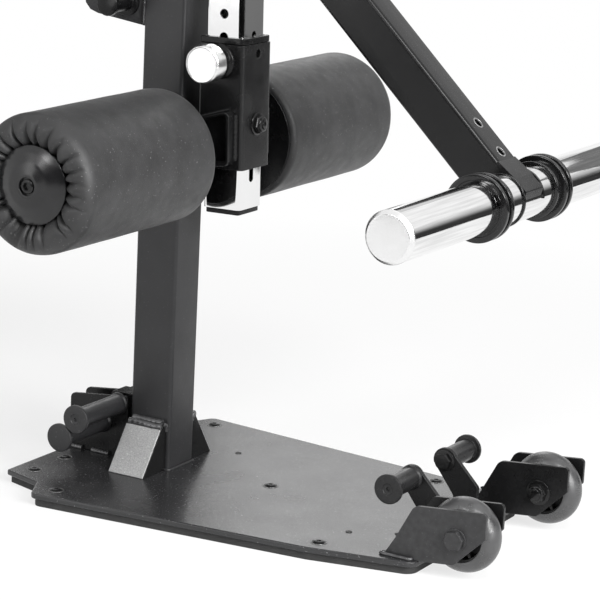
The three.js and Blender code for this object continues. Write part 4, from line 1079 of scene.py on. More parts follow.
@dataclass
class FloorPlate:
    """The tabbed steel floor plate, its rubber mat and its button screws."""

    mat: float = 8.0
    mat_inset: float = 3.0
    top: float = PLATE_TOP
    rear_x: float = -109.5
    rear_half: float = 126.4
    tab: float = 48.9
    tab_flare: float = 14.7
    shoulder: float = 17.1
    shoulder_flare: float = 34.4
    waist: Span = (262.4, 145.4)
    front: Span = (370.3, 121.0)
    screw_spots: tuple[Span, ...] = (
        (-87, -109), (-87, -54), (-87, 54), (-87, 109), (-28, -152), (-28, 152),
        (137, 0), (267, -125), (267, 125),
    )
    plug_spots: tuple[Span, ...] = ((50, 77), (275, -79))

    def outline(self, inset: float) -> list[Corner]:
        """Draws the plate's outline.

        Args:
            inset: How far it is drawn in.

        Returns:
            The outline's corners.
        """
        tab_x = self.rear_x + self.tab
        tab_half = self.rear_half + self.tab_flare
        half = [
            (self.rear_x + inset, self.rear_half - inset, 3),
            (tab_x + inset, tab_half - inset, 3),
            (tab_x + self.shoulder + inset, tab_half + self.shoulder_flare - inset, 9),
            (self.waist[0], self.waist[1] - inset, 40),
            (self.front[0] - inset, self.front[1] - inset, 13),
        ]
        return [(x, -y, r) for x, y, r in reversed(half)] + half

    def build(self) -> None:
        """Builds the mat, the plate, the screws and what lies round them."""
        mat = Solid().prism(self.outline(self.mat_inset), Plane.XY, 0, self.mat)
        mat.dressed("floor_mat", MAT_RUBBER, nodes=["base_mat"], ease=0.8)
        plate = Solid().prism(self.outline(0), Plane.XY, self.mat, self.top)
        plate.dressed("floor_plate", PLATE_COAT, nodes=["base_plate"], ease=1.6, segments=3)
        self.screws()
        seat = washer(6.3, 8.4, -0.4, 0.12)
        self.dots("screw_seats", SCREW_BLACK, self.screw_spots, seat)
        # Bright rims round the seats: a painted highlight of their edges.
        rim = [(7.2, -0.3), (7.8, -0.3), (7.7, 0.4, 0.2), (7.3, 0.4, 0.2)]
        self.dots("screw_seat_rims", RIM_HIGHLIGHT_STEEL, self.screw_spots, rim)
        plug = [(0, 0.1), (2.4, 0.1), (3.2, 0.5), (3.6, -0.3), (0, -0.3)]
        self.dots("plate_plugs", SCREW_BLACK, self.plug_spots, plug, 20)

    def screws(self) -> None:
        """Sets a dished button screw on every spot."""
        head = [(0, 0.4), (2.0, 0.4), (2.2, 2.0, 0.3), (4.4, 1.7, 1.0), (6.2, 0.2, 0.3),
                (6.2, -1.0), (0, -1.0)]
        model = Solid().turned(head, (0, 0, 0), Axis.Z, 32).object("button_screw")
        model.data.shade_smooth()
        seed = path_object([[(*spot, self.top)] for spot in self.screw_spots])
        tree = FastenerTree("plate screws", model, SCREW_BLACK)
        fitted(tree.grow(seed, "plate_screws", {"Turn": 1.0}), SCREW_BLACK)
        bpy.data.objects.remove(model)

    def dots(
        self, name: str, finish: Finish, spots: Sequence[Span], section: list[Corner],
        around: int = 32,
    ) -> None:
        """Repeats a small turned form on the plate.

        Args:
            name: The piece's name.
            finish: Its finish.
            spots: The X and Y of each form.
            section: The form's half section, from the plate's upper face.
            around: Segments around it.
        """
        forms = Solid()
        for x, y in spots:
            forms.turned(section, (x, y, self.top), Axis.Z, around)
        forms.dressed(name, finish)


@dataclass
class Welded:
    """A sub-assembly with weld beads."""

    beads: BeadTree


@dataclass
class Column(Welded):
    """The square front column, its gussets and the welds at its foot."""

    length: float = 50.0
    width: float = 48.0
    radius: float = 4.0
    top: float = 612.0
    foot: float = PLATE_TOP
    gusset_half: float = 21.2
    gusset_reach: float = 43.0
    gusset_shoulder: float = 11.0
    gusset_height: float = 47.0
    cheek: float = 3.0

    def build(self) -> None:
        """Builds the column, the gussets and the welds."""
        half, side = self.length / 2, self.width / 2
        tube = Solid().prism(block(half, side, self.radius), Plane.XY, self.foot, self.top, 9)
        tube.dressed("column_tube", POWDER_COAT, nodes=["column"], ease=0.6)
        for bench_side in Side:
            self.gusset(bench_side)
        loop = fillet(block(half + 1, side + 1, self.radius), 4)
        self.beads.run(
            "column_foot_weld", [[(x, y, self.foot + 0.6) for x, y in loop]],
            finish=POWDER_COAT, closed=True, radius=1.4, pitch=2.6, ripple=0.08,
        )

    def gusset(self, side: Side) -> None:
        """Builds one gusset: two cheeks, a sloped sheet and the weld along its top.

        Args:
            side: Its side of the column.
        """
        s, h, root = side.value, self.gusset_half, self.width / 2
        low, top = self.foot, self.foot + self.gusset_height
        toe, shoulder = root + self.gusset_reach, root + self.gusset_shoulder
        cheek = mirrored([
            (root, low), (toe - 1.5, low), (shoulder - 1.5, top, 2), (root + 6, top + 4, 2),
            (root, top + 4),
        ], s)
        sheet = mirrored([
            (toe - 3, low), (toe, low, 0.8), (shoulder, top - 0.5, 0.8), (shoulder - 3.4, top - 2),
        ], s)
        core = mirrored([
            (root, low), (toe - 3.5, low), (shoulder - 4.5, top - 1.5), (root + 5, top + 0.5),
            (root, top + 0.5),
        ], s)
        cheeks = Solid().prism(cheek, Plane.YZ, h - self.cheek, h)
        cheeks.prism(cheek, Plane.YZ, -h, self.cheek - h)
        cheeks.prism(core, Plane.YZ, self.cheek - h, h - self.cheek)
        node = f"column_gusset_{side.label}"
        # Painted shade: the cheeks take the darker arm coat for the dark they sit in.
        cheeks.dressed(f"gusset_cheeks_{side.label}", ARM_COAT, nodes=[node], ease=0.5)
        face = Solid().prism(sheet, Plane.YZ, -h - 1.2, h - 0.8)
        # Painted reflection: the sloped sheet's light grey coat.
        face.dressed(f"gusset_sheet_{side.label}", GUSSET_COAT, ease=0.7)
        y, z = s * (shoulder - 3.6), top + 1.4
        roll = [(x, y, z + 0.5 * math.sin(x)) for x in (-h + 1, -h / 2, 0, h / 2, h - 1)]
        upper = [(x, s * (root + 2.6), top + 4.2) for x in (-h + 3, 0, h - 3)]
        self.beads.run(
            f"gusset_weld_{side.label}", [roll, upper], radius=4.2, pitch=6.0, ripple=0.03,
            wander=0.22,
        )
        corner = [
            (h, s * (root + 0.6), top - 4), (h + 0.4, s * (root + 2.4), top + 3),
            (h - 1, s * (root + 5.5), top + 3.6),
        ]
        self.beads.run(
            f"gusset_weld_end_{side.label}", [corner], radius=2.4, pitch=4.0, ripple=0.04,
            wander=0.4,
        )


@dataclass
class TransportWheel(Welded):
    """One wheel between its two bracket plates, with its bolt and locking nut."""

    side: Side
    spokes: SpokeTree
    axle: Span = (409.0, 44.0)
    mid: float = 93.0
    radius: float = 37.3
    width: float = 29.0
    recess: float = 24.2
    crown: float = 12.8
    web: float = 3.0
    spread: float = 34.0
    plate: float = 4.0
    foot: float = PLATE_TOP
    bolt_head: float = 10.6
    bolt_washer: float = 11.2
    shank: float = 6.0
    nut: float = 10.2
    nut_washer: float = 13.0
    hub_bore: float = 6.2
    spoke_count: int = 6
    spoke_sizes: tuple[float, ...] = (9.6, 22.6, 2.6, 19.0)

    @property
    def cheek_coat(self) -> Finish:
        """The outer plate's finish: the near one is a lighter scuffed grey that also carries
        painted light, and the far one keeps the dark fork coat.
        """
        return SCUFFED_LIT_BRACKET_COAT if self.side is Side.NEAR else FORK_COAT

    @property
    def inner(self) -> float:
        """How far from the middle the gap between the plates starts."""
        return self.mid - self.spread / 2

    @property
    def outer(self) -> float:
        """How far from the middle the gap between the plates ends."""
        return self.mid + self.spread / 2

    def build(self) -> None:
        """Builds the bracket, the wheel, the bolt and the welds."""
        self.bracket()
        self.wheel()
        self.bolt()
        s, z = self.side.value, self.foot + 1.2
        middle, half = s * (self.outer + self.plate) + s * 0.6, 2.6
        loop = fillet(rectangle(331, 364, middle - half, middle + half, 2.5), 5)
        self.beads.run(
            f"wheel_fork_weld_{self.side.label}", [[(x, y, z) for x, y in loop]], closed=True,
            radius=1.9, pitch=7.0, ripple=0.03, wander=0.2,
        )
        y = s * (self.inner - self.plate - 1.4)
        self.beads.run(
            f"wheel_fork_inner_weld_{self.side.label}", [[(x, y, z) for x in (338, 350, 364)]],
            radius=3.0, pitch=4.0, ripple=0.06, wander=0.25,
        )

    def bracket(self) -> None:
        """Builds the two bracket plates and the web between their feet."""
        label, span = self.side.label, self.side.span
        outline = [
            (333, self.foot), (370.3, self.foot), (408, 18, 3), (440, 50, 3), (440, 76, 4.5),
            (363, 68.5, 10), (347, 37.5, 0.5), (343, 36.5, 0.6), (345.4, 34, 0.5),
        ]
        fork = Solid().prism(outline, Plane.XZ, *span(self.inner - self.plate, self.inner))
        web = rectangle(336, 362, *span(self.inner - 1, self.outer + 1))
        fork.prism(web, Plane.XY, self.foot, self.foot + self.plate)
        node = f"wheel_bracket_{label}"
        fork.dressed(f"wheel_fork_{label}", FORK_COAT, nodes=[node], ease=0.7, segments=3)
        cheek = Solid().prism(outline, Plane.XZ, *span(self.outer, self.outer + self.plate))
        # The near outer plate's lighter coat is partly painted light.
        cheek.dressed(f"wheel_fork_cheek_{label}", self.cheek_coat, ease=0.7, segments=3)

    def wheel(self) -> None:
        """Builds the tyre, the hub and the spokes."""
        label, body = self.side.label, f"{self.side.label}_wheel"
        half, web = self.width / 2, self.web
        centre = (self.axle[0], self.side.value * self.mid, self.axle[1])
        tread = [
            (self.radius - self.crown + self.crown * math.cos(a), half * math.sin(a))
            for a in (math.pi * (k / 32 - 0.5) for k in range(33))
        ]
        bead = [(self.recess, half - 2.5), (self.recess, 2.5 - half)]
        tyre = Solid().turned(tread + bead, centre, around=96, steps=1)
        tyre.dressed(f"tyre_{label}", TYRE_RUBBER, body, [f"wheel_{label}"])
        dish = [(self.hub_bore, half + 1.4), (10, half + 1.4, 0.8), (10.6, web), (21.6, web, 1),
                (22.4, half - 3, 0.6), (self.recess, half - 3)]
        back = [(radius, -along, *edge) for radius, along, *edge in dish]
        hub = Solid().turned(back + dish[::-1], centre)
        hub.dressed(f"hub_{label}", HUB_PLASTIC, body)
        sizes = dict(zip(("Inner", "Outer", "Width", "Depth"), self.spoke_sizes))
        values = {title: size * MM for title, size in sizes.items()}
        values["Count"] = self.spoke_count
        ribs = self.spokes.grow(path_object([[(0, 0, 0)]]), f"spokes_{label}", values)
        ribs.data.transform(
            Matrix.Translation(Vector(centre) * MM) @ Matrix.Rotation(math.pi / 2, 4, "X")
        )
        fitted(eased(ribs, 0), HUB_PLASTIC, body)

    def bolt(self) -> None:
        """Builds the axle bolt, its washers and the locking nut."""
        s, label = self.side.value, self.side.label
        centre = (self.axle[0], 0.0, self.axle[1])
        face, back = self.outer + self.plate, self.inner - self.plate
        disc = washer(0, self.bolt_washer, face, face + 1.2, 0.4)
        head = Solid().turned(disc, centre, around=40, sign=s)
        head.hexagon(self.bolt_head, centre, face + 1.0, face + 6.6, sign=s)
        # The bolt head takes the outer plate's coat, painted light included.
        head.dressed(f"axle_bolt_{label}", self.cheek_coat, nodes=[f"wheel_bolt_{label}"])
        nut = Solid().rod(self.shank, centre, back - 10, face, edge=1.0, sign=s)
        disc = washer(self.shank + 0.5, self.nut_washer, back, back - 1.6, 0.4)
        nut.turned(disc, centre, around=40, sign=s)
        nut.hexagon(self.nut, centre, back - 6.6, back - 1.4, sign=s)
        collar = [(self.hub_bore, back - 6), (8.6, back - 6), (8.4, back - 8.6, 1.2),
                  (self.hub_bore, back - 8.9)]
        nut.turned(collar, centre, around=40, sign=s)
        nut.dressed(f"lock_nut_{label}", BLACK_OXIDE)


# ------------------------------------------------------------------ band pegs


def peg(spot: Span, side: Side, root: float, outer: float, radius: float, dimple: bool) -> Solid:
    """Turns a band peg with an end disc.

    Args:
        spot: The peg's X and Z.
        side: The side it stands out to.
        root: Its distance from the middle where it starts.
        outer: Its distance from the middle where the disc ends.
        radius: The peg's radius.
        dimple: Whether the disc's middle is dished.

    Returns:
        The peg's solid.
    """
    disc, neck, root_radius = 15.1, outer - 4.0, radius + 1.6
    section = [
        (0, root), (root_radius, root), (root_radius - 0.2, root + 1.4, 0.8),
        (radius, root + 3.2, 0.8), (radius, neck, 0.6), (disc, neck, 0.8), (disc, outer, 1.0),
    ]
    if dimple:
        section += [(5.8, outer, 0.3), (5.4, outer - 0.7, 0.3), (2.2, outer - 1.0),
                    (1.8, outer - 2.4), (0, outer - 2.4)]
    else:
        section += [(0, outer)]
    return Solid().turned(section, (spot[0], 0, spot[1]), sign=side.value)


@dataclass
class FrontBandPeg(Welded):
    """A band peg bolted to the round top of an upright bar."""

    side: Side
    spot: Span = (320.0, 69.5)
    radius: float = 11.0
    outer: float = 88.0
    bar: Span = (34.0, 39.0)
    bar_radius: float = 13.0
    foot: Span = (333.5, 358.5)
    waist: float = 48.0
    bolt_head: float = 8.6
    bolt_washer: float = 11.4

    def build(self) -> None:
        """Builds the bar, the peg, the bolt and the weld at the foot."""
        s, label = self.side.value, self.side.label
        head = arc(self.spot, self.bar_radius, 26, 196, 28)
        rear, front = self.foot
        outline = [(rear, PLATE_TOP), (front, PLATE_TOP), (front, self.waist, 3)]
        outline += head + [(rear - 2, 35, 6)]
        bar = Solid().prism(outline, Plane.XZ, *self.side.span(*self.bar))
        node = f"front_peg_bar_{label}"
        bar.dressed(f"peg_upright_{label}", FORK_COAT, nodes=[node], ease=0.8, segments=3)
        post = peg(self.spot, self.side, self.bar[1], self.outer, self.radius, True)
        post.dressed(f"band_peg_{label}", PEG_COAT, nodes=[f"front_peg_{label}"])
        centre, inner = (self.spot[0], 0.0, self.spot[1]), self.bar[0]
        disc = washer(0, self.bolt_washer, inner, inner - 1.8, 0.5)
        bolt = Solid().turned(disc, centre, around=40, sign=s)
        bolt.hexagon(self.bolt_head, centre, inner - 6.4, inner - 1.6, sign=s)
        bolt.dressed(f"peg_bolt_{label}", BLACK_OXIDE)
        y = s * (self.bar[1] + 0.8)
        self.beads.run(
            f"peg_upright_weld_{label}", [[(x, y, PLATE_TOP + 0.6) for x in (335, 346, 357)]],
            radius=2.2, pitch=3.0, wander=0.3,
        )


@dataclass
class RearBandPegs(Welded):
    """Two upright plates behind the column with two pegs on each, and a spacer block."""

    plate: Span = (12.0, 16.0)
    ends: Span = (-108.0, -34.0)
    tops: Span = (74.0, 83.0)
    upper: Span = (-46.0, 73.0)
    lower: Span = (-66.0, 49.5)
    radius: float = 10.5
    outer: float = 96.0
    spacer: Corner = (-58, -27, 15, 85, 4)
    gap: float = 0.3

    def build(self) -> None:
        """Builds both plates, the block, the pegs and the welds."""
        for side in Side:
            self.bracket(side)
            y, z = side.value * (self.plate[1] + 1.2), PLATE_TOP + 1.4
            toes = [[(x, y, z) for x in xs] for xs in ((-106, -98, -90), (-77, -66, -55))]
            self.beads.run(
                f"rear_plate_weld_{side.label}", toes, radius=3.0, pitch=3.6, wander=0.3
            )
        half = self.plate[0] - self.gap
        spacer = Solid().prism(rectangle(*self.spacer), Plane.XZ, -half, half)
        spacer.dressed("peg_spacer_block", MOULDED_PLASTIC, ease=0.8)

    def bracket(self, side: Side) -> None:
        """Builds one plate and its two pegs.

        Args:
            side: Its side of the bench.
        """
        (rear, front), (rear_top, front_top) = self.ends, self.tops
        outline = [(rear, PLATE_TOP), (front, PLATE_TOP), (front, front_top, 4),
                   (rear, rear_top, 6)]
        plate = Solid().prism(outline, Plane.XZ, *side.span(*self.plate))
        node = f"rear_peg_bracket_{side.label}"
        plate.dressed(f"rear_peg_plate_{side.label}", FORK_COAT, nodes=[node], ease=0.7)
        for title, spot, dimple in (("upper", self.upper, True), ("lower", self.lower, False)):
            post = peg(spot, side, self.plate[1], self.outer, self.radius, dimple)
            post.dressed(f"rear_peg_{title}_{side.label}", POWDER_COAT)


# ------------------------------------------------------------------ leg lever


@dataclass
class LegLever(Welded):
    """The swinging lever: hub, chrome post, weight arm, plate sleeve and collars."""

    post: float = 44.0
    post_wall: float = 2.5
    post_radius: float = 5.0
    post_end: float = 358.5
    first_hole: float = 89.1
    hole_pitch: float = 23.5
    hole_count: int = 7
    hole_radius: float = 5.0
    front_hole: float = 181.0
    slot: tuple[float, float, float] = (318.0, 27.0, 8.0)
    cap_flange: float = 5.4
    cap_plug: float = 17.0
    cap_size: float = 40.0
    hub_radius: float = 27.3
    arm_length: float = 444.0
    arm_angle: float = 45.0
    arm_size: Span = (45.0, 38.0)
    arm_wall: float = 3.0
    arm_holes: Span = (39.0, 75.0)
    arm_hole_radius: float = 5.0
    sleeve_radius: float = 25.0
    sleeve_half: float = 248.0
    saddle_gap: float = 0.35
    collar: Span = (48.0, 74.5)

    @property
    def swing(self) -> Matrix:
        """The frame in which the weight arm hangs straight down."""
        return LEVER_REST @ Matrix.Rotation(-math.radians(self.arm_angle), 4, "Y")

    @property
    def sleeve_axis(self) -> Spot:
        """A point on the sleeve's axis, in the lever's frame."""
        angle = math.radians(self.arm_angle)
        return (self.arm_length * math.sin(angle), 0.0, -self.arm_length * math.cos(angle))

    def build(self) -> None:
        """Builds every piece of the lever."""
        adopted("lever_hub", LEVER_COAT, LEVER, 0.8)
        self.chrome_post()
        self.end_cap()
        self.weight_arm()
        self.saddle()
        self.arm_root_weld()
        self.hole_rims()
        self.sleeve()
        self.sleeve_bands()
        for side in Side:
            self.sleeve_collar(side)

    def chrome_post(self) -> None:
        """Builds the square chrome tube with its holes and slot."""
        half, inner, past = self.post / 2, self.post / 2 - self.post_wall, 1.0
        tube = block(half, half, self.post_radius)
        post = Solid().prism(tube, Plane.XY, -self.post_end, 0, 12)
        tube = block(inner, inner, self.post_radius - self.post_wall)
        bore = Solid().prism(tube, Plane.XY, -self.post_end - past, past, 6)
        hub = Solid().rod(self.hub_radius, (0, 0, 0), -half - past, half + past, around=96)
        holes = Solid()
        for k in range(self.hole_count):
            z = -self.first_hole - k * self.hole_pitch
            holes.rod(self.hole_radius, (0, 0, z), -half - past, half + past)
        front = (half - 5, half + past)
        holes.rod(self.hole_radius - 1, (0, 0, -self.front_hole), *front, Axis.X)
        middle, length, width = self.slot
        ends = (-middle - length / 2, -middle + length / 2)
        slot = rectangle(-width / 2, width / 2, *ends, width / 2.05)
        holes.prism(slot, Plane.YZ, *front, 8)
        post.dressed(
            "chrome_post", CHROME, LEVER, ["post"], 0.35, by=LEVER_REST, less=(bore, hub, holes)
        )

    def end_cap(self) -> None:
        """Builds the plastic cap under the post."""
        half, seat = self.cap_size / 2, -self.post_end - 0.3
        inner = self.post / 2 - self.post_wall - 0.4
        cap = Solid().prism(block(half, half, 3), Plane.XY, seat - self.cap_flange, seat, 8)
        cap.prism(block(inner, inner, 2), Plane.XY, seat, seat + self.cap_plug)
        cap.dressed(
            "post_cap", MOULDED_PLASTIC, LEVER, ["post_end_cap"], 0.9, 3, by=LEVER_REST
        )

    def weight_arm(self) -> None:
        """Builds the diagonal tube, cut to the hub, the sleeve and the post."""
        a, b = self.arm_size[0] / 2, self.arm_size[1] / 2
        end, past = -self.arm_length, 24
        tube = Solid().prism(block(a, b, 4), Plane.XY, end, 0, 8)
        a, b = a - self.arm_wall, b - self.arm_wall
        bore = Solid().prism(block(a, b, 1.5), Plane.XY, end - 1, 1, 4)
        reach = self.sleeve_radius + self.saddle_gap
        space = Solid().rod(reach, (0, 0, end), -past, past, around=96)
        space.rod(self.hub_radius, (0, 0, 0), -past, past, around=96)
        for back in self.arm_holes:
            space.rod(self.arm_hole_radius, (0, 0, end + back), 10, past, Axis.X)
        edge = self.post / 2 + 0.3
        behind = Solid().prism(rectangle(-460, edge, -460, 40), Plane.XZ, -22, 22)
        arm = tube.moved(self.swing).object("weight_arm_tube")
        carved(arm, bore.moved(self.swing), space.moved(self.swing), behind.moved(LEVER_REST))
        fitted(eased(arm, 0.7, 3), ARM_COAT, LEVER, ["weight_arm"])

    def saddle(self) -> None:
        """Builds the block that wraps the arm's end over the sleeve."""
        half, end = self.arm_size[1] / 2 - 0.12, -self.arm_length
        wrap = [(25.9, end - 10.5, 2), (25.6, end + 6, 14), (22.45, end + 30), (19, end + 30)]
        wrap += arc((0.0, end), self.sleeve_radius + self.saddle_gap, 75, -39, 30)
        solid = Solid().prism(wrap, Plane.XZ, -half, half)
        solid.dressed("sleeve_saddle", ARM_COAT, LEVER, (), 0.7, 3, by=self.swing)

    def arm_root_weld(self) -> None:
        """Lays the beads between the arm and the post."""
        face, half = self.post / 2 + 0.6, self.arm_size[1] / 2 + 0.6
        low, high = -28 - self.arm_size[0] * 0.72, -26.0
        joint = [[(face, y, z) for z in (low, (low + high) / 2, high)] for y in (-half, half)]
        self.beads.run("arm_root_weld", joint, LEVER, moved=LEVER_REST, **JOINT_BEAD)

    def hole_rims(self) -> None:
        """Builds bright metal rims round the holes in the arm's upper face: a painted highlight of
        the holes' edges.
        """
        rims, face = Solid(), self.arm_size[0] / 2
        section = [(4.6, face - 1), (6.4, face - 1), (6.2, face + 0.3, 0.2), (4.8, face + 0.4, 0.2)]
        for back in self.arm_holes:
            rims.turned(section, (0, 0, back - self.arm_length), Axis.X, 32)
        rims.dressed("arm_hole_rims", RIM_HIGHLIGHT_STEEL, LEVER, by=self.swing)

    def sleeve(self) -> None:
        """Builds the drawn chrome sleeve and its bevelled ends."""
        radius, half, axis = self.sleeve_radius, self.sleeve_half, self.sleeve_axis
        body = Solid().turned(washer(0, radius, 5 - half, half - 5), axis, around=160)
        body.dressed("plate_sleeve", DRAWN_CHROME, LEVER, ["weight_sleeve"], by=LEVER_REST)
        ends = Solid()
        section = [(0, half - 6), (radius + 0.03, half - 6), (radius + 0.03, half - 4, 1.2),
                   (radius - 3.6, half, 0.8), (0, half)]
        for sign in (-1, 1):
            ends.turned(section, axis, around=160, sign=sign)
        ends.dressed("sleeve_bevels", TURNED_CHROME, LEVER, by=LEVER_REST)

    def sleeve_bands(self) -> None:
        """Builds the thin bands on both sides of the arm; the far one is open below."""
        inner, outer = self.sleeve_radius + 0.1, self.sleeve_radius + 1.6
        axis, edge = self.sleeve_axis, self.arm_size[1] / 2
        section = [(inner, -edge - 3.4), (outer, -edge - 3.4, 0.5), (outer, -edge - 0.3, 0.5),
                   (inner, -edge - 0.3)]
        bands = Solid().turned(section, axis, around=96)
        centre = (axis[0], axis[2])
        half_ring = arc(centre, outer, -2, 175, 48) + arc(centre, inner, 175, -2, 48)
        bands.prism(half_ring, Plane.XZ, edge + 0.3, edge + 3.0)
        bands.dressed("sleeve_bands", GRIP_RUBBER, LEVER, by=LEVER_REST)

    def sleeve_collar(self, side: Side) -> None:
        """Builds one grooved collar.

        Args:
            side: Its side of the arm.
        """
        inner, outer = self.collar
        section = [
            (25.2, inner), (28.5, inner, 0.8), (28.5, inner + 10), (33.2, inner + 10, 1.2),
            (33.2, inner + 15.5, 1.2), (29.5, inner + 15.5, 0.6), (29.5, outer - 5.5, 0.6),
            (33.2, outer - 5.5, 1.2), (33.2, outer, 1.2), (27.6, outer, 0.4),
            (27.0, outer - 0.8, 0.2), (25.2, outer - 0.8),
        ]
        ring = Solid().turned(section, self.sleeve_axis, around=112, sign=side.value)
        node = f"sleeve_collar_{side.label}"
        ring.dressed(f"grooved_collar_{side.label}", GRIP_RUBBER, LEVER, [node], by=LEVER_REST)


@dataclass
class Carriage(Welded):
    """The sliding carriage with its liner, lock knob, set bolt and roller arms."""

    size: float = 54.5
    wall: float = 2.5
    radius: float = 5.0
    bottom: float = 316.4
    top: float = 189.6
    lip: float = 6.5
    lip_inset: float = 0.75
    skirt: float = 60.0
    bore: float = 44.6
    post: float = 44.0
    pin: float = 206.6
    pin_hole: float = 7.0
    front_hole: float = 199.3
    front_hole_radius: float = 4.5
    bolt: float = 271.0
    arm_front: float = 18.6
    arm_low: float = -310.5
    arm_high: float = -254.0
    arm_boss: float = 28.0
    arm_depth: float = 12.6
    arm_wall: float = 3.7
    stub_end: float = 286.0
    stub_radius: float = 12.5
    body: str = "carriage_assembly"

    def build(self) -> None:
        """Builds every piece of the carriage."""
        self.tube()
        self.liner()
        self.set_bolt()
        self.lock_pin()
        for side in Side:
            self.roller_arm(side)

    def tube(self) -> None:
        """Builds the square outer tube and the rim of its front hole."""
        half, inner = self.size / 2, self.size / 2 - self.wall
        ends = (-self.bottom, -self.top)
        tube = Solid().prism(block(half, half, self.radius), Plane.XY, *ends, 10)
        bore = Solid().prism(block(inner, inner, 2), Plane.XY, ends[0] - 1, ends[1] + 1)
        front = (0, 0, -self.front_hole)
        holes = Solid().rod(self.front_hole_radius, front, half - 5, half + 1, Axis.X)
        holes.rod(self.pin_hole, (0, 0, -self.pin), -half - 1, -half + 5)
        tube.dressed(
            "carriage_tube", LEVER_COAT, self.body, ["carriage"], 0.6, 3, LEVER_REST, (bore, holes)
        )
        rim = [(4.2, half - 2), (5.9, half - 2), (5.6, half + 0.25, 0.2), (4.4, half + 0.35, 0.2)]
        rim = Solid().turned(rim, front, Axis.X, 32)
        rim.dressed("carriage_hole_rim", LEVER_COAT, self.body, by=LEVER_REST)

    def arm_form(self, inset: float, corner: float) -> list[Corner]:
        """Draws a roller arm's outline.

        Args:
            inset: How far it is drawn in from the outside.
            corner: The radius of its corners.

        Returns:
            The outline's corners.
        """
        front, low, high = self.arm_front, self.arm_low, self.arm_high
        boss = arc(ROLLER_AXIS, self.arm_boss - inset, 105, 265, 24)
        return [(0, low - 2 + inset), (front - inset, low + inset, corner),
                (front - inset, high - inset, corner)] + boss

    def roller_arm(self, side: Side) -> None:
        """Builds one open box arm with its stub axle and the weld on the carriage.

        Args:
            side: Its side of the carriage.
        """
        back, (x, z) = self.size / 2 + 0.3, ROLLER_AXIS
        front, low, high = self.arm_front, self.arm_low, self.arm_high
        thickness = side.span(back, back + self.arm_depth)
        arm = Solid().prism(self.arm_form(0, 6), Plane.XZ, *thickness, 8)
        thickness = side.span(back + self.arm_wall, back + self.arm_depth + 5)
        hollow = Solid().prism(self.arm_form(self.arm_wall, 3.5), Plane.XZ, *thickness, 8)
        arm.dressed(
            f"roller_arm_box_{side.label}", ARM_COAT, self.body, [f"roller_arm_{side.label}"],
            1.2, 4, LEVER_REST, [hollow],
        )
        stub_end = self.stub_end + side.value * ROLLER_SHIFT
        reach = side.span(back + self.arm_wall - 0.5, stub_end)
        stub = Solid().rod(self.stub_radius, (x, 0, z), *reach, edge=0.8)
        stub.dressed(f"roller_stub_{side.label}", ARM_COAT, self.body, by=LEVER_REST)
        y = side.value * (back + 0.7)
        slope = (high - z - self.arm_boss) / (front - x)
        seams = [
            [(k, y, high + 0.6 - slope * (front - k)) for k in (-20, 0, front - 5)],
            [(front + 0.2, y, k) for k in (high - 5, (low + high) / 2, low + 5)],
        ]
        self.beads.run(
            f"roller_arm_weld_{side.label}", seams, self.body, ARM_COAT, moved=LEVER_REST,
            radius=3.2, pitch=5.0, ripple=0.04, wander=0.3,
        )

    def liner(self) -> None:
        """Builds the plastic liner and the lip that covers the tube's upper end."""
        half, bore, seat = self.size / 2 - self.lip_inset, self.bore / 2, 0.3 - self.top
        edge = seat + self.lip
        lip = Solid().prism(block(half, half, self.radius), Plane.XY, seat, edge, 10)
        hollow = Solid().prism(block(bore, bore, 4.2), Plane.XY, seat - 1, edge + 1, 10)
        lip.dressed(
            "carriage_liner_lip", MOULDED_PLASTIC, self.body, ["carriage_liner"], 1.2, 3,
            LEVER_REST, [hollow],
        )
        outer = self.size / 2 - self.wall - 0.3
        low = seat - self.skirt
        skirt = Solid().prism(block(outer, outer, 2.5), Plane.XY, low, seat - 0.1, 6)
        hollow = Solid().prism(block(bore, bore, 1.5), Plane.XY, low - 1, seat + 1, 6)
        pin = Solid().rod(self.pin_hole, (0, 0, -self.pin), -half - 1, -bore + 1)
        skirt.dressed(
            "carriage_liner_skirt", MOULDED_PLASTIC, self.body, (), 0.4, 2, LEVER_REST,
            (hollow, pin),
        )

    def set_bolt(self) -> None:
        """Builds the set bolt on the front face: washer, lock nut and the bolt's end."""
        face, centre = self.size / 2, (0, 0, -self.bolt)
        disc = [(0, face + 0.3), (11.7, face + 0.3, 0.3), (11.7, face + 1.6, 0.5),
                (9.8, face + 1.9, 0.3), (0, face + 1.9)]
        disc = Solid().turned(disc, centre, Axis.X)
        disc.dressed(
            "set_bolt_washer", BLACK_OXIDE, self.body, ["carriage_set_bolt"], by=LEVER_REST
        )
        nut = Solid().hexagon(9.7, centre, face + 1.8, face + 7.0, Axis.X)
        collar = [(0, face + 6.6), (7.6, face + 6.6), (7.4, face + 8.8, 1.2),
                  (4.9, face + 9.4, 0.4), (4.6, face + 8.2), (0, face + 8.2)]
        nut.turned(collar, centre, Axis.X, 48)
        nut.turned(washer(0, 4.2, face + 7.5, face + 10.4, 0.8), centre, Axis.X, 32)
        nut.dressed("set_bolt_nut", BLACK_OXIDE, self.body, (), 0.6, by=LEVER_REST)

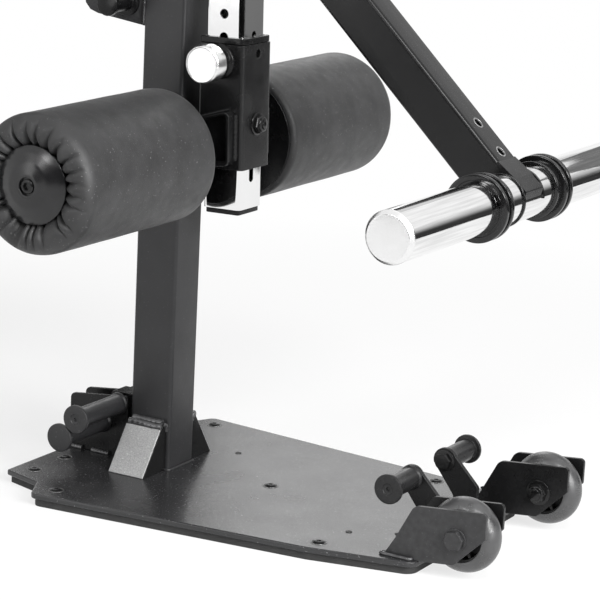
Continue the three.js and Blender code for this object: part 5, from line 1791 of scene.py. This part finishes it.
    def lock_pin(self) -> None:
        """Builds the lock pin's barrel and its chrome knob."""
        centre, face = (0, 0, -self.pin), -self.size / 2 - 0.3
        end = face - 17
        section = [
            (5.4, face), (18, face, 0.6), (18, face - 4.6, 1.4), (15.2, face - 6.2, 0.8),
            (14.6, face - 9.4, 1.0), (16.2, face - 10.6, 0.8), (16.2, end + 1, 0.8),
            (15.2, end, 0.4), (5.4, end),
        ]
        barrel = Solid().turned(section, centre, around=80)
        node = ["carriage_pin_barrel"]
        barrel.dressed("pin_barrel", MOULDED_PLASTIC, self.body, node, by=LEVER_REST)
        near, tip = end - 0.3, -self.post / 2 - 0.6
        far = near - 18.5
        section = [
            (0, far + 0.4), (16.6, far + 0.3, 0.6), (17.8, far, 0.8), (19.3, far + 1.5, 0.9),
            (19.3, near - 1.4, 0.8), (18, near, 0.5), (5, near), (5, tip, 0.8), (0, tip),
        ]
        knob = Solid().turned(section, centre, around=128)
        body, node = "carriage_pin_body", ["carriage_pin"]
        knob.dressed("chrome_knob", TURNED_CHROME, body, node, by=LEVER_REST)


@dataclass
class FoamRoller:
    """One foam roller: core disc, gathered vinyl cover and domed cap."""

    side: Side
    radius: float = 68.5
    inner: float = 73.0
    outer: float = 300.0
    edge: float = 16.0
    bore: float = 12.9
    tube: float = 15.2
    disc: float = 63.0
    cap: float = 38.7
    cap_rim: float = 294.0
    cap_crown: float = 10.0
    pleats: int = 24
    pleat_depth: float = 6.6
    pleat_zone: float = 12.0
    pleat_reach: float = 62.0
    tuck: float = 7.4
    centre: Spot = (ROLLER_AXIS[0], 0.0, ROLLER_AXIS[1])

    @property
    def frame(self) -> Matrix:
        """The lever's frame, moved along to the middle of the pair of rollers."""
        return LEVER_REST @ Matrix.Translation((0, ROLLER_SHIFT, 0))

    @property
    def body(self) -> str:
        """The body the roller turns with."""
        return f"{self.side.label}_roller"

    def turned(self, section: list[Corner], around: int = 128, steps: int = 4) -> Solid:
        """Turns a half section about the roller's axis."""
        sign = self.side.value
        return Solid().turned(section, self.centre, around=around, steps=steps, sign=sign)

    def build(self) -> None:
        """Builds the disc, the cover, the cap and its screw."""
        label, inner, seat = self.side.label, self.inner, self.cap_rim - 8
        core = self.turned([
            (self.bore, inner + 1), (17, inner + 1), (18, inner, 0.5), (self.disc, inner, 0.7),
            (self.disc, inner + 3, 0.7), (self.tube, inner + 3), (self.tube, seat),
            (self.bore, seat),
        ])
        node = f"roller_core_{label}"
        core.dressed(f"roller_disc_{label}", MOULDED_PLASTIC, self.body, [node], by=self.frame)
        self.cover()
        rim, crown = self.cap_rim, self.cap_rim + self.cap_crown
        cap = self.turned([
            (0, crown - 3.5), (8.6, crown - 3.5), (8.9, crown - 0.5, 0.5), (12, crown - 0.7, 5),
            (22, crown - 2.6, 20), (31.5, rim + 3.6, 14), (self.cap, rim, 1.6),
            (self.cap - 1.2, rim - 6.8, 0.6), (0, rim - 6.8),
        ], 128, 6)
        node = f"roller_cap_{label}"
        cap.dressed(f"roller_end_cap_{label}", CAP_ENAMEL, self.body, [node], by=self.frame)
        head = self.turned([
            (0, crown - 3.6), (7.2, crown - 3.6), (7.2, crown - 1.7, 0.9),
            (5.6, crown - 0.4, 1.2), (0, crown - 0.4),
        ], 64)
        socket = self.turned(washer(0, 4.1, crown - 3.2, crown + 2), 6)
        head.dressed(
            f"cap_screw_{label}", BLACK_OXIDE, self.body, (), 0.2, by=self.frame, less=[socket]
        )

    def section(self) -> list[Corner]:
        """Draws the cover's half section, before its outer end is gathered.

        Returns:
            The section, as (radius, along).
        """
        start, full, outer = self.inner + 3.3, self.radius, self.outer
        rows = [(self.tube + 0.4, start), (30, start), (50, start), (full - 6, start),
                (full - 4, start + 0.4), (full - 2, start + 1.7), (full - 0.7, start + 3.8),
                (full, start + 7)]
        length = outer - self.edge - start - 7
        rows += [(full, start + 7 + length * k / 12) for k in range(1, 13)]
        flat = full - self.edge
        for k in range(1, 15):
            angle = math.pi / 2 * k / 14
            rows.append((flat + self.edge * math.cos(angle),
                         outer - self.edge + self.edge * math.sin(angle)))
        drop = outer - self.cap_rim + 2.5
        for k in range(1, 13):
            t = k / 12
            rows.append((flat + (self.cap + 0.5 - flat) * t, outer - drop * t ** 2))
        end, bore = self.cap_rim - self.tuck, self.tube + 0.4
        return rows + [(self.cap - 2.5, self.cap_rim - 4), (self.cap - 4, end), (bore, end)]

    def cover(self) -> None:
        """Builds the cover and gathers its outer end into pleats."""
        label = self.side.label
        solid = self.turned(self.section(), 480, 1)
        fold_shades = self.gather(solid.mesh.verts)
        made = solid.moved(self.frame).object(f"roller_cover_{label}")
        # This attribute carries painted shade for the pleat valleys and for the gap at the cap.
        attribute = made.data.attributes.new("fold", "FLOAT", "POINT")
        attribute.data.foreach_set("value", fold_shades)
        made.data.shade_smooth()
        fitted(made, ROLLER_COVER, self.body, [f"roller_pad_{label}"])

    def gather(self, verts: Sequence[bmesh.types.BMVert]) -> list[float]:
        """Presses pleats into the cover's outer end and a faint unevenness elsewhere.

        Args:
            verts: The cover's vertices, around the roller's axis.

        Returns:
            How much painted shade each vertex takes, from 0 to 1: deep in a pleat valley, and next
            to the cap.
        """
        fold_shades, end = [], self.outer - self.pleat_zone
        for vert in verts:
            x, z = vert.co.x - self.centre[0], vert.co.z - self.centre[2]
            radius = math.hypot(x, z)
            along = abs(vert.co.y)
            angle = math.atan2(z, x)
            spot = Vector((math.cos(angle), math.sin(angle), self.side.value * 3.0))
            wobble = noise.noise(spot * 2.4) * 2.3 + noise.noise(spot * 5.5) * 0.9
            strength = 0.8 + 0.7 * noise.noise(spot * 4.1 + Vector((7, 0, 0)))
            reach = self.pleat_reach + 6 * noise.noise(spot * 9.0 + Vector((0, 5, 0)))
            fade = max(0.0, min(1.0, (reach - radius) / (reach - self.cap)))
            if along < end or radius < self.cap - 3:
                fade = 0.0
            crest = abs(math.cos(self.pleats * angle / 2 + wobble))
            valley = (1 - crest) ** 1.4 * fade ** 0.7 * strength
            dip = self.pleat_depth * (valley - 0.3 * crest * fade)
            vert.co.y -= self.side.value * dip
            if radius > self.radius - self.edge - 1 and along > self.inner + 8:
                soft = 0.5 * noise.noise(Vector((vert.co.x, vert.co.y * 0.6, vert.co.z)) / 26)
                k = (radius - 0.5 + soft) / radius
                vert.co.x, vert.co.z = self.centre[0] + x * k, self.centre[2] + z * k
            # Painted shade for the gap between the cover and the cap.
            gap = 0.0 if along < end else (self.cap + 2.4 - radius) / 2.0
            fold_shades.append(max(0.0, min(1.0, max(valley, gap))))
        return fold_shades


# ------------------------------------------------------------------ beam, seat and backrest


@dataclass(frozen=True)
class Shell:
    """A piece that keeps the CAD node's own shape."""

    node: str
    finish: Finish
    width: float = 0.7
    body: str = FRAME


@dataclass
class BeamAndLeg(Welded):
    """The pivot head, main beam, rear leg, foot, handle, bolts and bumpers."""

    beam: Span = (500.0, 576.0)
    beam_half: float = 15.5
    rear_x: float = -1150.0
    leg_x: float = -1080.0
    leg_half: float = 20.0
    foot_top: float = 48.0
    bracket_x: float = -25.6
    bracket_half: float = 20.6
    bracket_heights: tuple[float, ...] = (482, 530, 590)
    shells: tuple[Shell, ...] = (
        Shell("pivot_bracket", POWDER_COAT, 1.0),
        Shell("pivot_pin", ZINC, 0.8),
        Shell("beam_bracket", POWDER_COAT, 0.8),
        Shell("main_beam", POWDER_COAT),
        Shell("rear_leg", POWDER_COAT),
        Shell("rear_handle", POWDER_COAT, 0.9),
        *(Shell(f"foot_cap_{side.label}", MAT_RUBBER, 2.0) for side in Side),
        Shell("seat_hinge_bolt", ZINC),
        Shell("back_hinge_bolt", ZINC),
        *(Shell(f"{name}_bumper", MAT_RUBBER, 1.6) for name in ("lever", "seat", "back")),
        *(Shell(f"{name}_pin_barrel", MOULDED_PLASTIC, 0.8) for name in ("beam", "seat", "back")),
        *(Shell(f"{name}_pin", MOULDED_PLASTIC, 1.0, f"{name}_pin_body")
          for name in ("beam", "seat", "back")),
        Shell("seat_frame", POWDER_COAT, body="seat"),
        Shell("back_frame", POWDER_COAT, body="backrest"),
    )

    def build(self) -> None:
        """Builds the shells and the welds between them."""
        for shell in self.shells:
            adopted(shell.node, shell.finish, shell.body, shell.width)
        low, high = self.beam
        y, h = self.beam_half + 0.4, self.leg_half + 0.4
        joint = fillet(block(h, y, 4), 4)
        for k, z in enumerate((low - 0.8, self.foot_top + 0.8)):
            loop = [(self.leg_x + u, v, z) for u, v in joint]
            self.beads.run(f"leg_weld_{k}", [loop], closed=True, **JOINT_BEAD)
        edge = [(self.rear_x - 1.0, v, z) for v, z in fillet(rectangle(-y, y, low, high, 4), 4)]
        self.beads.run("handle_plate_weld", [edge], closed=True, radius=1.6, pitch=2.6, wander=0.2)
        faces = (-self.bracket_half, self.bracket_half)
        seams = [[(self.bracket_x, v, z) for z in self.bracket_heights] for v in faces]
        self.beads.run("beam_bracket_weld", seams, **JOINT_BEAD)


@dataclass
class Cushion:
    """An upholstered pad: board, inflated vinyl cover, piping and stitched seam."""

    piping: BeadTree
    stitches: StitchTree
    node: str
    body: str
    ends: Span
    half: float
    base: float = 640.3
    top: float = 695.3
    corner: float = 30.0
    board: float = 12.0
    board_inset: float = 6.0
    voxel: float = 5.5
    swell: float = 5.0
    rise: float = 6.0
    cover_lift: float = 3.0
    held: float = 14.0
    pressure: float = 4.0
    stiffness: float = 12.0
    frames: int = 20
    step: float = 6.0
    piping_drop: float = 9.0
    piping_lift: float = 8.0
    seam_drop: float = 14.5

    def build(self) -> None:
        """Builds the board, the cover, the piping and the stitches."""
        outline = self.outline(self.board_inset, self.corner - self.board_inset)
        board = Solid().prism(outline, Plane.XY, self.base, self.base + self.board)
        board.dressed(f"{self.node}_board", MOULDED_PLASTIC, self.body, ease=1.0)
        cover = self.cover()
        tree = BVHTree.FromObject(cover, bpy.context.evaluated_depsgraph_get())
        heights = {"upper": self.top - self.piping_drop, "lower": self.base + self.piping_lift}
        for title, height in heights.items():
            self.piping.run(
                f"{self.node}_{title}_piping", [self.loop(tree, height, 0.6)], self.body,
                PAD_VINYL, closed=True, radius=2.4, pitch=9.0, ripple=0.01, wander=0.04,
            )
        path = path_object([self.loop(tree, self.top - self.seam_drop, 0.35)], True)
        seam = self.stitches.grow(path, f"{self.node}_stitches")
        seam.data.shade_smooth()
        fitted(seam, THREAD, self.body)

    def outline(self, inset: float, corner: float) -> list[Corner]:
        """The pad's outline, drawn in by an inset."""
        (x0, x1), half = self.ends, self.half - inset
        return rectangle(x0 + inset, x1 - inset, -half, half, corner)

    def loop(self, tree: BVHTree, height: float, out: float) -> list[Vector]:
        """Runs a loop around the cover's side.

        Args:
            tree: The cover's surface.
            height: The height of the loop.
            out: How far it is lifted off the surface.

        Returns:
            The loop's points.
        """
        ring = fillet(self.outline(0, self.corner), 10)
        path = []
        for (x, y), ahead in zip(ring, ring[1:] + ring[:1]):
            count = max(1, int(math.hypot(ahead[0] - x, ahead[1] - y) / self.step))
            for i in range(count):
                point = Vector((
                    x + (ahead[0] - x) * i / count, y + (ahead[1] - y) * i / count, height
                ))
                spot, normal, _, _ = tree.find_nearest(point * MM)
                path.append(spot / MM + normal * out)
        return path

    def cover(self) -> Piece:
        """Inflates the cover over its foam.

        Returns:
            The fitted cover.
        """
        outline = self.outline(self.swell, self.corner)
        low, high = self.base + self.cover_lift, self.top - self.rise
        solid = Solid().prism(outline, Plane.XY, low, high)
        cover = eased(solid.object(f"{self.node}_cover"), 9.0, 4)
        modified(cover, "REMESH", mode="VOXEL", voxel_size=self.voxel * MM)
        self.inflate(cover)
        modified(cover, "SUBSURF", levels=1, render_levels=1)
        cover.data.shade_smooth()
        fitted(cover, PAD_VINYL, self.body, [self.node])
        return cover

    def inflate(self, cover: Piece) -> None:
        """Runs a short cloth simulation from inside and keeps a capped share of it.

        Args:
            cover: The cover, whose vertices are moved.
        """
        rest = [vert.co.copy() for vert in cover.data.vertices]
        floor = (self.base + self.held) * MM
        group = cover.vertex_groups.new(name="held")
        group.add([v.index for v in cover.data.vertices if v.co.z < floor], 1.0, "REPLACE")
        cloth = cover.modifiers.new("cloth", "CLOTH")
        cloth.settings.quality = 4
        cloth.settings.use_pressure = True
        cloth.settings.uniform_pressure_force = self.pressure
        cloth.settings.effector_weights.gravity = 0.0
        cloth.settings.vertex_group_mass = group.name
        cloth.settings.tension_stiffness = self.stiffness
        cloth.settings.compression_stiffness = self.stiffness
        cloth.point_cache.frame_start, cloth.point_cache.frame_end = 1, self.frames
        scene = bpy.context.scene
        for number in range(1, self.frames + 1):
            scene.frame_set(number)
        baked(cover)
        scene.frame_set(1)
        most, limit = 0.0, self.rise * 0.9 * MM
        for vert, was in zip(cover.data.vertices, rest):
            move = vert.co - was
            most = max(most, move.length)
            if move.length > limit:
                move *= limit / move.length
            vert.co = was + move
        cover.vertex_groups.clear()
        LOG.info("%s swelled by up to %.1f mm", cover.name, most / MM)


# ------------------------------------------------------------------ studio


@dataclass(frozen=True)
class Panel:
    """A softbox that faces a target, in metres and watts."""

    name: str
    place: Spot
    size: float
    power: float
    target: Spot = (0.1, 0.0, 0.3)

    def build(self) -> None:
        """Hangs the softbox."""
        data = bpy.data.lights.new(self.name, "AREA")
        data.size = self.size
        data.energy = self.power
        lamp = placed(self.name, data)
        lamp.location = self.place
        aim = Vector(self.target) - Vector(self.place)
        lamp.rotation_euler = aim.to_track_quat("-Z", "Y").to_euler()


@dataclass(frozen=True)
class Card:
    """An upright card that only mirror-like surfaces see, in metres.

    It stands on the points of its foot, and its brightness runs from one shade at its lower
    edge, which it keeps up to a height, to another at its upper edge.
    """

    name: str
    foot: Sequence[Corner]
    rise: Span
    shades: Span
    fade_from: float = 0.0

    def build(self) -> None:
        """Stands the card in the studio."""
        count = len(self.foot)
        points = [(x, y, z) for z in self.rise for x, y in self.foot]
        faces = [(k, k + 1, count + k + 1, count + k) for k in range(count - 1)]
        card = plain_mesh(self.name, points, faces=faces)
        material = new_material(self.name)
        tree = material.node_tree
        place = add_node(tree, "ShaderNodeTexCoord").outputs["Object"]
        height = add_node(tree, "ShaderNodeSeparateXYZ", {0: place}).outputs["Z"]
        span = (max(self.rise[0], self.fade_from), self.rise[1])
        fill(tree.nodes["Principled BSDF"], {
            "Base Color": (0, 0, 0, 1), "Specular IOR Level": 0, "Emission Color": (1, 1, 1, 1),
            "Emission Strength": mapped(height, span, self.shades, "SMOOTHSTEP"),
        })
        card.data.materials.append(material)
        card.visible_camera = card.visible_diffuse = card.visible_shadow = False


@dataclass
class Studio:
    """A plain pale floor, soft light, dark cards for the chrome to reflect and the camera."""

    azimuth: float = 29.66
    elevation: float = 13.58
    roll: float = 2.82
    lens: float = 152.95
    place: Spot = (1411.7, -2195.7, 827.9)
    floor_half: float = 30.0
    floor_color: float = 0.95
    shadow_share: float = 0.25
    shadow_reach: Span = (0.7, 1.4)
    ambient: float = 0.15
    panels: tuple[Panel, ...] = (
        Panel("key_softbox", (3.0, -0.9, 1.5), 1.6, 165),
        Panel("fill_softbox", (-1.2, -3.0, 0.9), 1.6, 17),
        Panel("edge_softbox", (1.7, -1.6, 2.6), 1.0, 40),
        Panel("top_softbox", (0.2, 0.6, 3.0), 2.0, 5),
        Panel("back_softbox", (-1.6, 2.6, 1.8), 1.6, 12),
        Panel("front_softbox", (-0.3, -2.2, 1.42), 0.45, 9),
    )
    cards: tuple[Card, ...] = (
        Card("corner_card", arc((0.09, 0.0), 1.25, -112, 36), (0.3, 0.8), (0.004, 0.004)),
        Card("right_card", ((1.05, 1.7), (2.2, 1.7)), (0.03, 0.9), (0.04, 0.9), 0.34),
        Card("far_card", ((0.86, 1.7), (1.05, 1.7)), (0.03, 0.5), (0.05, 1.0), 0.2),
        Card("post_card", ((0.25, 0.62), (0.6, 0.62)), (0.4, 0.62), (0.18, 0.2)),
        Card("top_card", ((-0.5, 1.77), (-0.1, 1.77)), (0.9, 1.5), (0.7, 0.7)),
        Card("left_card", ((-1.5, 1.77), (-1.06, 1.77)), (0.2, 1.3), (0.02, 0.02)),
    )

    def build(self) -> None:
        """Builds the floor, the world, the lights, the cards and the camera."""
        bpy.context.scene.view_settings.view_transform = "Standard"
        self.floor()
        self.world()
        for piece in (*self.panels, *self.cards):
            piece.build()
        self.camera()

    def floor(self) -> None:
        """Lays a large floor that keeps the shadow near the bench and is white beyond."""
        far = self.floor_half
        corners = [(-far, -far, 0), (far, -far, 0), (far, far, 0), (-far, far, 0)]
        floor = plain_mesh("floor", corners, faces=[(0, 1, 2, 3)])
        material = new_material("studio floor")
        tree = material.node_tree
        tree.nodes.clear()
        tint = {"Color": (self.floor_color, self.floor_color, self.floor_color, 1)}
        diffuse = add_node(tree, "ShaderNodeBsdfDiffuse", tint).outputs[0]
        glow = add_node(tree, "ShaderNodeEmission").outputs[0]
        place = add_node(tree, "ShaderNodeTexCoord").outputs["Object"]
        away = add_node(tree, "ShaderNodeVectorMath", {0: place}, operation="LENGTH")
        fade = mapped(away.outputs["Value"], self.shadow_reach, (1 - self.shadow_share, 1.0))
        shares = {0: self._seen(tree), 1: fade}
        share = add_node(tree, "ShaderNodeMath", shares, operation="MULTIPLY").outputs[0]
        mix = add_node(tree, "ShaderNodeMixShader", {0: share, 1: diffuse, 2: glow}).outputs[0]
        add_node(tree, "ShaderNodeOutputMaterial", {"Surface": mix})
        floor.data.materials.append(material)

    def _seen(self, tree: Tree) -> Socket:
        """Tells which rays see the backdrop.

        Args:
            tree: The tree of the floor or the world.

        Returns:
            1 for rays from the camera or off a mirror, and 0 for the rest.
        """
        rays = add_node(tree, "ShaderNodeLightPath").outputs
        either = {0: rays["Is Camera Ray"], 1: rays["Is Glossy Ray"]}
        return add_node(tree, "ShaderNodeMath", either, operation="MAXIMUM").outputs[0]

    def world(self) -> None:
        """Lights the scene softly from all round, in front of a white backdrop."""
        world = bpy.context.scene.world = bpy.data.worlds.new("studio")
        world.use_nodes = True
        tree = world.node_tree
        strength = mapped(self._seen(tree), (0.0, 1.0), (self.ambient, 1.0))
        fill(tree.nodes["Background"], {"Color": (1, 1, 1, 1), "Strength": strength})

    def camera(self) -> None:
        """Sets the camera low in front of the near corner."""
        a, e, r = (math.radians(v) for v in (self.azimuth, self.elevation, self.roll))
        ahead = Vector((-math.sin(a) * math.cos(e), math.cos(a) * math.cos(e), -math.sin(e)))
        level = Vector((math.cos(a), math.sin(a), 0))
        upright = level.cross(ahead)
        right = level * math.cos(r) + upright * math.sin(r)
        up = upright * math.cos(r) - level * math.sin(r)
        data = bpy.data.cameras.new("camera")
        data.lens = self.lens
        data.sensor_width = 36.0
        data.clip_end = 200
        camera = placed("camera", data)
        turn = Matrix((right, up, -ahead)).transposed().to_4x4()
        camera.matrix_world = Matrix.Translation(Vector(self.place) * MM) @ turn
        bpy.context.scene.camera = camera


def main() -> None:
    """Builds the whole bench and its studio."""
    logging.basicConfig(level=logging.INFO, format="%(name)s: %(message)s")
    beads = BeadTree("weld bead", WELD_COAT)
    piping = BeadTree("vinyl piping", PAD_VINYL)
    spokes = SpokeTree("wheel spokes", HUB_PLASTIC)
    stitches = StitchTree("seam stitches", THREAD)
    FloorPlate().build()
    Column(beads).build()
    for side in Side:
        TransportWheel(beads, side, spokes).build()
        FrontBandPeg(beads, side).build()
        FoamRoller(side).build()
    for assembly in (RearBandPegs, LegLever, Carriage, BeamAndLeg):
        assembly(beads).build()
    Cushion(piping, stitches, "seat_pad", "seat", (-300, -36), 150).build()
    Cushion(piping, stitches, "back_pad", "backrest", (-1150, -365), 140).build()
    Studio().build()


if __name__ == "__main__":
    main()
